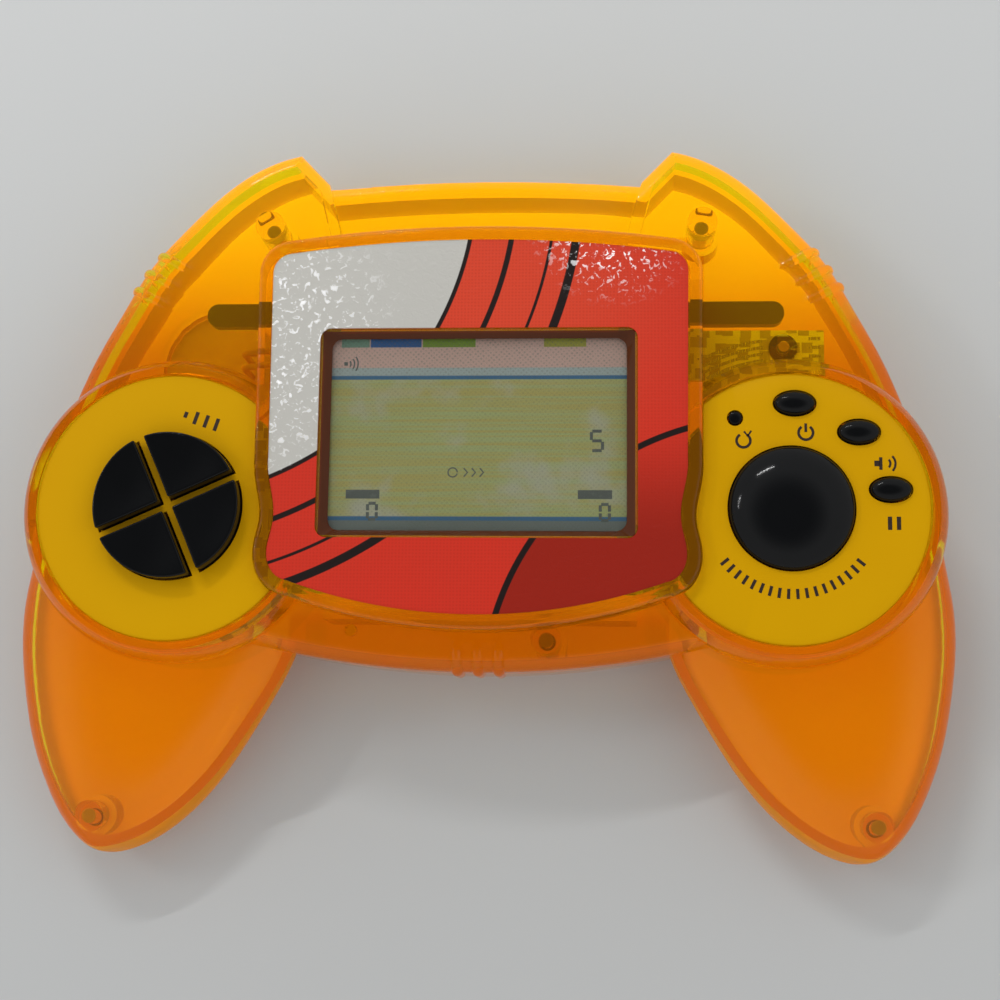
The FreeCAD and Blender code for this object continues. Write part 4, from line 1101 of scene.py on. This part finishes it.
@dataclass
class DomedKey(Key):
    """A key whose top is part of an ellipsoid that is cut well above its middle."""

    top: float = 27.2
    fall: float = 3.2
    centre: Pair = (0.0, 0.0)
    half_size: Pair = (9.9, 9.9)
    bulge: float = 0.72

    def crown(self, x: np.ndarray, y: np.ndarray) -> np.ndarray:
        """Top less the fall, which grows with the squared share of the way to the edge.

        Args:
            x: Plan positions along x.
            y: Plan positions along y.

        Returns:
            The heights there.
        """
        share = ((x - self.centre[0]) / self.half_size[0]) ** 2
        share = share + ((y - self.centre[1]) / self.half_size[1]) ** 2
        curve = 1 - np.sqrt(np.clip(1 - self.bulge * share, 0, 1))
        return self.top - self.fall * curve / (1 - math.sqrt(1 - self.bulge))


@dataclass
class RubberDome:
    """A hollow silicone cone with soft corners that pushes a key back up."""

    key: Body
    place: Pair
    foot_radius: float
    wall: float = 0.45
    taper: float = 0.7
    soft: float = 0.18
    axis_gap: float = 0.05
    foot_flare: float = 0.05
    hollow_z: float = 17.8
    keep: float = 0.6
    sides: int = 40

    def build(self) -> None:
        """Turn the wall's profile about the dome's axis.

        Ring k has the profile's k-th radius and height; angles step evenly round the axis.
        """
        foot, soft, gap = self.foot_radius, self.soft, self.axis_gap
        top = foot * self.taper
        profile = np.array([
            (gap, FLANGE_LOW_Z), (top - soft, FLANGE_LOW_Z), (top, FLANGE_LOW_Z - soft),
            (foot, MAT_TOP_Z + soft), (foot + self.foot_flare, MAT_TOP_Z),
            (foot - self.wall, MAT_TOP_Z), (top - self.wall, self.hollow_z - soft),
            (top - self.wall - soft, self.hollow_z), (gap, self.hollow_z),
        ])
        angle = np.linspace(0, 2 * math.pi, self.sides, endpoint=False)
        radius = profile[:, :1]
        rings = np.stack([
            self.place[0] + radius * np.cos(angle), self.place[1] + radius * np.sin(angle),
            np.repeat(profile[:, 1:], self.sides, 1),
        ], -1)
        node = "dome_" + self.key.value.replace("_button", "")
        skin = rings_surface(rings).outward()
        piece = make_piece(node + "_skin", skin, Body.CASE, Paint.RUBBER, [node])
        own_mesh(piece)


@dataclass
class DirectionPad:
    """Four quarter keys round a yellow cross, with their domes and mat."""

    radius: float = 11.9
    bar: float = 1.7
    turn: float = 24.0
    edge_round: float = 0.35
    dish_place: float = 7.0
    dome_place: float = 7.4
    dome_radius: float = 3.0
    side_count: int = 60
    arc_count: int = 120
    outline_count: int = 240
    corner_count: int = 5
    keys: tuple[Body, ...] = (Body.UP, Body.LEFT, Body.DOWN, Body.RIGHT)

    def quarter_outline(self) -> np.ndarray:
        """Outline of one quarter: two sides and an arc, with corners eased by a running mean.

        Returns:
            Plan points about the pad's middle, evenly spaced.
        """
        half = self.bar / 2
        reach = math.sqrt(self.radius ** 2 - half ** 2)
        first = math.degrees(math.atan2(half, reach))
        ends = np.linspace(half, reach, self.side_count)
        level = np.full(self.side_count, half)
        sides = np.vstack([
            np.column_stack([ends, level]),
            arc_path((0, 0), self.radius, first, 90 - first, self.arc_count),
            np.column_stack([level, ends[::-1]]),
        ])
        gaps = np.linalg.norm(np.roll(sides, -1, 0) - sides, axis=1)
        keep = gaps > SAME_POINT
        sides, gaps = sides[keep], gaps[keep]
        run = np.concatenate([[0], np.cumsum(gaps)])
        loop = np.vstack([sides, sides[:1]])
        at = np.linspace(0, run[-1], self.outline_count, endpoint=False)
        even = np.column_stack([np.interp(at, run, loop[:, 0]), np.interp(at, run, loop[:, 1])])
        shifts = range(-(self.corner_count // 2), self.corner_count // 2 + 1)
        return sum(np.roll(even, shift, 0) for shift in shifts) / self.corner_count

    def build(self, frame: dict[str, Any]) -> None:
        """Build the keys and domes, and dress the mat.
        """
        outline = self.quarter_outline()
        for step, body in enumerate(self.keys):
            degrees = self.turn + 90 * step
            plan = turned_about(outline, (0, 0), degrees) + (-POD_X, POD_Y)
            angle = math.radians(degrees + 45)
            dish, dome = (
                (-POD_X + reach * math.cos(angle), POD_Y + reach * math.sin(angle))
                for reach in (self.dish_place, self.dome_place)
            )
            key = QuarterKey(body.value + "_key", plan, self.edge_round, dish_place=dish)
            make_piece(key.name, key.surface(), body, Paint.BLACK, [body.value])
            RubberDome(body, dome, self.dome_radius).build()
        dress(frame, Paint.RUBBER, "dpad_mat")


@dataclass(frozen=True)
class KeyPlan:
    """A key on the right-hand pod: its place from the pod's middle, and its half size.

    Its crown is the height of the top, its fall to the edge, and the edge's radius.
    """

    body: Body
    place: Pair
    half: Pair
    crown: tuple[float, float, float]
    dome_radius: float


@dataclass
class ActionCluster:
    """The large domed key, three oval keys and the small reset key, with domes and mat."""

    oval: tuple[Pair, tuple[float, float, float], float] = ((3.25, 1.95), (25.0, 0.9, 0.45), 2.2)
    plans: tuple[KeyPlan, ...] = (
        KeyPlan(Body.ACTION, (0.0, 0.0), (9.9, 9.9), (27.2, 3.0, 0.5), 5.0),
        KeyPlan(Body.POWER, (0.7, 17.0), *oval),
        KeyPlan(Body.SOUND, (10.8, 12.3), *oval),
        KeyPlan(Body.PAUSE, (15.6, 3.0), *oval),
        KeyPlan(Body.RESET, (-8.8, 14.6), (1.05, 1.05), (24.0, 0.2, 0.15), 1.4),
    )
    outline_count: int = 96

    def build(self, frame: dict[str, Any]) -> None:
        """Build each key and the dome under it, and dress the mat.
        """
        angle = np.linspace(0, 2 * math.pi, self.outline_count, endpoint=False)
        circle = np.column_stack([np.cos(angle), np.sin(angle)])
        for plan in self.plans:
            body, half = plan.body, plan.half
            centre = (POD_X + plan.place[0], POD_Y + plan.place[1])
            top, fall, edge_round = plan.crown
            key = DomedKey(
                body.value + "_key", np.array(centre) + circle * half, edge_round, top=top,
                fall=fall, centre=centre, half_size=half,
            )
            make_piece(key.name, key.surface(), body, Paint.BLACK, [body.value])
            RubberDome(body, centre, plan.dome_radius).build()
        dress(frame, Paint.RUBBER, "action_mat")


@dataclass(frozen=True)
class Sign:
    """A sign about its middle: arcs of radius, start, end and width, lines of points and width."""

    at: Pair
    arcs: tuple[tuple[float, float, float, float], ...] = ()
    lines: tuple[tuple[tuple[Pair, ...], float], ...] = ()
    arc_count: int = 24


@dataclass
class Marks:
    """Strokes of ink a few hundredths thick, which become one piece."""

    low: float = DISC_TOP_Z - 0.02
    high: float = DISC_TOP_Z + 0.03
    strokes: list[Surface] = field(default_factory=list)

    def stroke(self, path: np.ndarray, width: float) -> None:
        """Add one line of ink along a plan path."""
        self.strokes.append(ribbon(path, width, self.low, self.high))

    def sign(self, sign: Sign) -> None:
        """Add a sign's arcs and lines.

        Args:
            sign: The sign.
        """
        for radius, start, end, width in sign.arcs:
            self.stroke(arc_path(sign.at, radius, start, end, sign.arc_count), width)
        for points, width in sign.lines:
            self.stroke(np.array(points) + sign.at, width)

    def finish(self, name: str, paint: Paint) -> None:
        """Make one piece of all the strokes.

        Args:
            name: Piece name.
            paint: Its finish and slot.
        """
        whole = self.strokes[0]
        for part in self.strokes[1:]:
            whole = whole.joined(part)
        make_piece(name, whole.outward(), Body.CASE, paint)


@dataclass
class PodDiscs:
    """The two yellow discs and the signs printed on them."""

    bars_at: Pair = (-45.5, 10.6)
    bars_turn: float = -18.0
    bar_halves: tuple[float, ...] = (0.5, 1.05, 1.05, 1.05)
    bar_start: float = -2.7
    bar_step: float = 1.8
    bar_width: float = 0.6
    signs: tuple[Sign, ...] = (
        Sign(  # Return arrow.
            (42.7, 7.1), ((1.1, 120, 420, 0.42),), ((((0.1, 1.5), (0.7, 0.8), (1.25, 1.6)), 0.32),)
        ),
        Sign((52.6, 8.4), ((1.15, 125, 415, 0.42),), ((((0, 0.1), (0, 1.5)), 0.42),)),  # Power.
        Sign(  # Sound.
            (64.9, 3.4), ((0.9, -44, 44, 0.34), (1.7, -44, 44, 0.34)),
            ((((-1.6, 0), (-0.8, 0)), 0.9), (((-0.6, -1.0), (-0.6, 1.0)), 0.5)),
        ),
        Sign(  # Pause.
            (66.2, -6.2), (),
            ((((-0.7, -1.05), (-0.7, 1.05)), 0.65), (((0.7, -1.05), (0.7, 1.05)), 0.65)),
        ),
    )
    tick_sweep: Pair = (219.0, 321.0)
    tick_reach: Pair = (12.9, 14.5)
    tick_count: int = 18
    tick_width: float = 0.5

    def left_marks(self) -> None:
        """A low bar and three tall ones in a row, tilted as the pad is."""
        marks = Marks()
        for step, half in enumerate(self.bar_halves):
            x = self.bars_at[0] + self.bar_start + step * self.bar_step
            bar = np.array([[x, self.bars_at[1] - half], [x, self.bars_at[1] + half]])
            marks.stroke(turned_about(bar, self.bars_at, self.bars_turn), self.bar_width)
        marks.finish("left_disc_marks", Paint.INK)

    def right_marks(self) -> None:
        """The signs by the small keys, and a row of ticks under the dome."""
        marks = Marks()
        for sign in self.signs:
            marks.sign(sign)
        for angle in np.radians(np.linspace(*self.tick_sweep, self.tick_count)):
            direction = np.array([math.cos(angle), math.sin(angle)])
            marks.stroke((POD_X, POD_Y) + np.outer(self.tick_reach, direction), self.tick_width)
        marks.finish("right_disc_marks", Paint.INK)

    def build(self, frame: dict[str, Any]) -> None:
        """Dress the discs and print them.
        """
        dress(frame, Paint.YELLOW, "left_disc", "right_disc")
        self.left_marks()
        self.right_marks()


@dataclass
class Display:
    """Clear window, display sandwich and the picture on it.

    The picture is a sound sign, a ring, chevrons, two bars and three seven-segment digits, each
    digit given by its place and height; its half width is a share of its height.
    """

    half_width: float = 25.4
    rows: Pair = (-9.0, 25.5)
    film_low: float = 22.61
    film_high: float = 22.65
    segment_high: float = 22.67
    segment_sink: float = 0.01
    segment_gap: float = 0.14
    segment_width: float = 0.5
    digit_half_share: float = 0.28
    digit_segments: dict[str, str] = field(default_factory=lambda: {"0": "abcdef", "5": "afgcd"})
    digits: tuple[tuple[str, Pair, float], ...] = (
        ("5", (19.3, 7.2), 3.2), ("0", (-17.0, -4.4), 2.6), ("0", (20.6, -4.5), 2.6),
    )
    bar_places: tuple[Pair, ...] = ((-18.6, -1.6), (19.0, -1.6))
    bar_half: float = 2.75
    bar_width: float = 1.45
    sound_sign: Sign = Sign(
        (-21.9, 20.1), tuple((radius, -36, 36, 0.24) for radius in (0.8, 1.4, 2.0)),
        ((((-0.3, 0), (0.3, 0)), 0.6),), arc_count=10,
    )
    ring: Sign = Sign((-4.0, 2.0), ((0.75, 0, 345, 0.22),), arc_count=28)
    chevron_starts: tuple[float, ...] = (-2.2, -0.9, 0.4)
    chevron: tuple[Pair, ...] = ((0.0, -0.7), (0.6, 0.0), (0.0, 0.7))
    chevron_y: float = 2.0
    chevron_width: float = 0.24

    def digit(self, marks: Marks, which: str, place: Pair, high: float) -> None:
        """Draw one seven-segment digit.

        Args:
            marks: Where the strokes go.
            which: The digit.
            place: Middle of the digit.
            high: Its height.
        """
        h, w, gap = high / 2, high * self.digit_half_share, self.segment_gap
        ends = {
            "a": ((-w + gap, h), (w - gap, h)), "g": ((-w + gap, 0), (w - gap, 0)),
            "d": ((-w + gap, -h), (w - gap, -h)), "f": ((-w, h - gap), (-w, gap)),
            "b": ((w, h - gap), (w, gap)), "e": ((-w, -gap), (-w, -h + gap)),
            "c": ((w, -gap), (w, -h + gap)),
        }
        for segment in self.digit_segments[which]:
            marks.stroke(np.array(ends[segment]) + place, self.segment_width)

    def picture(self) -> None:
        """The front polariser, which the picture shows in, and the dark segments on it."""
        half, (low, high) = self.half_width, self.rows
        plan = np.array([(-half, low), (half, low), (half, high), (-half, high)])
        rings = np.stack([
            np.column_stack([plan, np.full(len(plan), z)]) for z in (self.film_low, self.film_high)
        ])
        sheet = rings_surface(rings).outward()
        make_piece("front_polariser", sheet, Body.CASE, Paint.FILM)
        marks = Marks(low=self.film_high - self.segment_sink, high=self.segment_high)
        for which, place, height in self.digits:
            self.digit(marks, which, place, height)
        bar = np.array([(-self.bar_half, 0), (self.bar_half, 0)])
        for place in self.bar_places:
            marks.stroke(bar + place, self.bar_width)
        marks.sign(self.sound_sign)
        marks.sign(self.ring)
        for x in self.chevron_starts:
            marks.stroke(np.array(self.chevron) + (x, self.chevron_y), self.chevron_width)
        marks.finish("display_segments", Paint.CRYSTAL)

    def build(self, frame: dict[str, Any]) -> None:
        """Dress the window and the display, and add the picture.
        """
        dress(frame, Paint.FOIL, "faceplate_label")
        dress(frame, Paint.ACRYLIC, "window_lens")
        dress(frame, Paint.GLASS, "lcd_front_glass", "lcd_rear_glass")
        dress(frame, Paint.FILM, "lcd_background_film")
        dress(frame, Paint.BLACK, "lcd_frame")
        dress(frame, Paint.RUBBER, "zebra_strip")
        self.picture()


@dataclass
class Electronics:
    """Board, what it carries, and the tinned tracks that shine by the right-hand horn."""

    board_top: float = 15.4
    tab_low: float = 18.9
    track_radii: tuple[float, ...] = (25.2, 26.3, 27.4, 28.5, 29.6)
    track_ends: Pair = (97.0, 119.0)
    track_width: float = 0.5
    track_sink: float = 0.02
    track_high: float = 0.05
    pad_columns: Pair = (54.3, 56.2)
    pad_start: float = 20.0
    pad_step: float = 1.5
    pad_count: int = 5
    pad_width: float = 0.55

    def tracks(self) -> None:
        """Arcs about the pod's middle and a ladder of pads, laid on the board's tab.

        Each arc ends where it meets the tab's lower edge, or earlier at its own limit.
        """
        marks = Marks(low=self.board_top - self.track_sink, high=self.board_top + self.track_high)
        for radius in self.track_radii:
            low = math.degrees(math.asin((self.tab_low - POD_Y) / radius))
            end = min(180 - low, self.track_ends[1])
            arc = arc_path((POD_X, POD_Y), radius, self.track_ends[0], end)
            marks.stroke(arc, self.track_width)
        for step in range(self.pad_count):
            y = self.pad_start + self.pad_step * step
            marks.stroke(np.array([(x, y) for x in self.pad_columns]), self.pad_width)
        marks.finish("board_tracks", Paint.TRACK)

    def build(self, frame: dict[str, Any]) -> None:
        """Dress the board and its parts, and lay the tracks.
        """
        dress(frame, Paint.BOARD, "main_board")
        dress(frame, Paint.BLACK, "board_stiffener")
        dress(frame, Paint.RESIN, "chip_cover", "board_resistors")
        dress(frame, Paint.SLEEVE, "capacitor")
        dress(frame, Paint.STEEL, "case_screws", "board_screws")
        self.tracks()


@dataclass
class PowerPack:
    """Cells, contacts, sounder and wires."""

    def build(self, frame: dict[str, Any]) -> None:
        """Dress every node of the pack.
        """
        dress(frame, Paint.JACKET, "battery_cell_upper", "battery_cell_lower")
        dress(frame, Paint.TIN, "contact_link", "contact_positive", "contact_negative")
        dress(frame, Paint.BRASS, "sounder_disc")
        dress(frame, Paint.WIRE, "battery_wires", "sounder_wires")


@dataclass
class CaseShells:
    """The two clear orange shells and the cell cover."""

    def build(self, frame: dict[str, Any]) -> None:
        """Dress the shells.
        """
        dress(frame, Paint.FRONT, "front_shell")
        dress(frame, Paint.REAR, "rear_shell", "battery_cover")


@dataclass(frozen=True)
class Lamp:
    """A soft lamp: where it hangs, its length along the table's edge and height, and its power."""

    name: str
    place_m: tuple[float, float, float]
    size_m: Pair
    watts: float


@dataclass
class Studio:
    """Pale floor, soft lamps and the camera at the photograph's angle."""

    floor_half_m: float = 1.6
    floor_gap: float = 0.2
    camera_at: tuple[float, float, float] = (21.0, -44.8, 280.0)
    look_at: tuple[float, float, float] = (3.14, -1.04, 14.0)
    roll: float = 0.0131641
    lens_mm: float = 58.36
    sensor_mm: float = 36.0
    clip_start_m: float = 0.01
    world_tone: str = "#F4F4F4"
    overhead: float = 0.12
    horizon: float = 1.0
    dimming: Pair = (0.7, 0.96)
    lamps: tuple[Lamp, ...] = (
        Lamp("far_lamp", (-0.31, 0.80, 0.72), (0.34, 0.010), 2.0),
        Lamp("left_lamp", (-0.95, 0.30, 0.70), (0.26, 0.010), 1.0),
    )

    def floor(self) -> None:
        """A wide level sheet just under the case."""
        half, low = self.floor_half_m, -self.floor_gap * MM
        corners = [(-half, -half, low), (half, -half, low), (half, half, low), (-half, half, low)]
        mesh = bpy.data.meshes.new("floor")
        mesh.from_pydata(corners, [], [(0, 1, 2, 3)])
        mesh.materials.append(PaintedBoard().make())
        sheet = bpy.data.objects.new("floor", mesh)
        bpy.context.scene.collection.objects.link(sheet)

    def room(self) -> None:
        """A soft room that is dark straight above and bright in a ring lower down.

        Its brightness falls with the height of the direction looked in, so that level faces
        mirror little and rounded edges catch a soft light.
        """
        world = bpy.data.worlds.new("soft_room")
        world.use_nodes = True
        world.node_tree.nodes.clear()
        on = Canvas(world.node_tree)
        direction = on.add("TexCoord", {})["Generated"]
        height = on.add("SeparateXYZ", {"Vector": direction})["Z"]
        dimmed = SMOOTH | {
            VALUE: height, START: self.dimming[0], END: self.dimming[1],
            "To Min": self.horizon, "To Max": self.overhead,
        }
        strength = on.add("MapRange", dimmed)[0]
        light = on.add("Background", {"Color": self.world_tone, "Strength": strength})[0]
        on.add("OutputWorld", {"Surface": light})
        bpy.context.scene.world = world

    def hang(self, lamp: Lamp) -> None:
        """Add a soft lamp that points at the case.

        Args:
            lamp: The lamp.
        """
        data = bpy.data.lights.new(lamp.name, "AREA")
        data.shape = "RECTANGLE"
        data.size, data.size_y = lamp.size_m
        data.energy = lamp.watts
        holder = bpy.data.objects.new(lamp.name, data)
        holder.location = lamp.place_m
        holder.rotation_mode = "QUATERNION"
        holder.rotation_quaternion = (-holder.location).to_track_quat("-Z", "Y")
        bpy.context.scene.collection.objects.link(holder)

    def camera(self) -> None:
        """Place the camera, with its small roll about the line of sight."""
        eye, aim = np.array(self.camera_at), np.array(self.look_at)
        forward = (aim - eye) / np.linalg.norm(aim - eye)
        right = np.cross(forward, (0, 1, 0))
        right = right / np.linalg.norm(right)
        up = np.cross(right, forward)
        c, s = math.cos(self.roll), math.sin(self.roll)
        across, above = c * right + s * up, c * up - s * right
        data = bpy.data.cameras.new("photograph_view")
        data.lens = self.lens_mm
        data.sensor_width = self.sensor_mm
        data.clip_start = self.clip_start_m
        holder = bpy.data.objects.new("photograph_view", data)
        matrix = np.eye(4)
        matrix[:3, 0], matrix[:3, 1], matrix[:3, 2] = across, above, -forward
        matrix[:3, 3] = eye * MM
        holder.matrix_world = Matrix(matrix.tolist())
        bpy.context.scene.collection.objects.link(holder)
        bpy.context.scene.camera = holder

    def build(self) -> None:
        """Set up floor, light and camera."""
        self.floor()
        self.room()
        bpy.context.scene.view_settings.view_transform = "Standard"
        for lamp in self.lamps:
            self.hang(lamp)
        self.camera()


def main() -> None:
    """Build every sub-assembly around the frame, in order from the case to the studio."""
    logging.basicConfig(level=logging.INFO)
    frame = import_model()
    for assembly in (
        CaseShells(), PodDiscs(), Display(), DirectionPad(), ActionCluster(), Electronics(),
        PowerPack(),
    ):
        LOG.info("building %s", type(assembly).__name__)
        assembly.build(frame)
    Studio().build()
    bpy.context.view_layer.update()


if __name__ == "__main__":
    main()
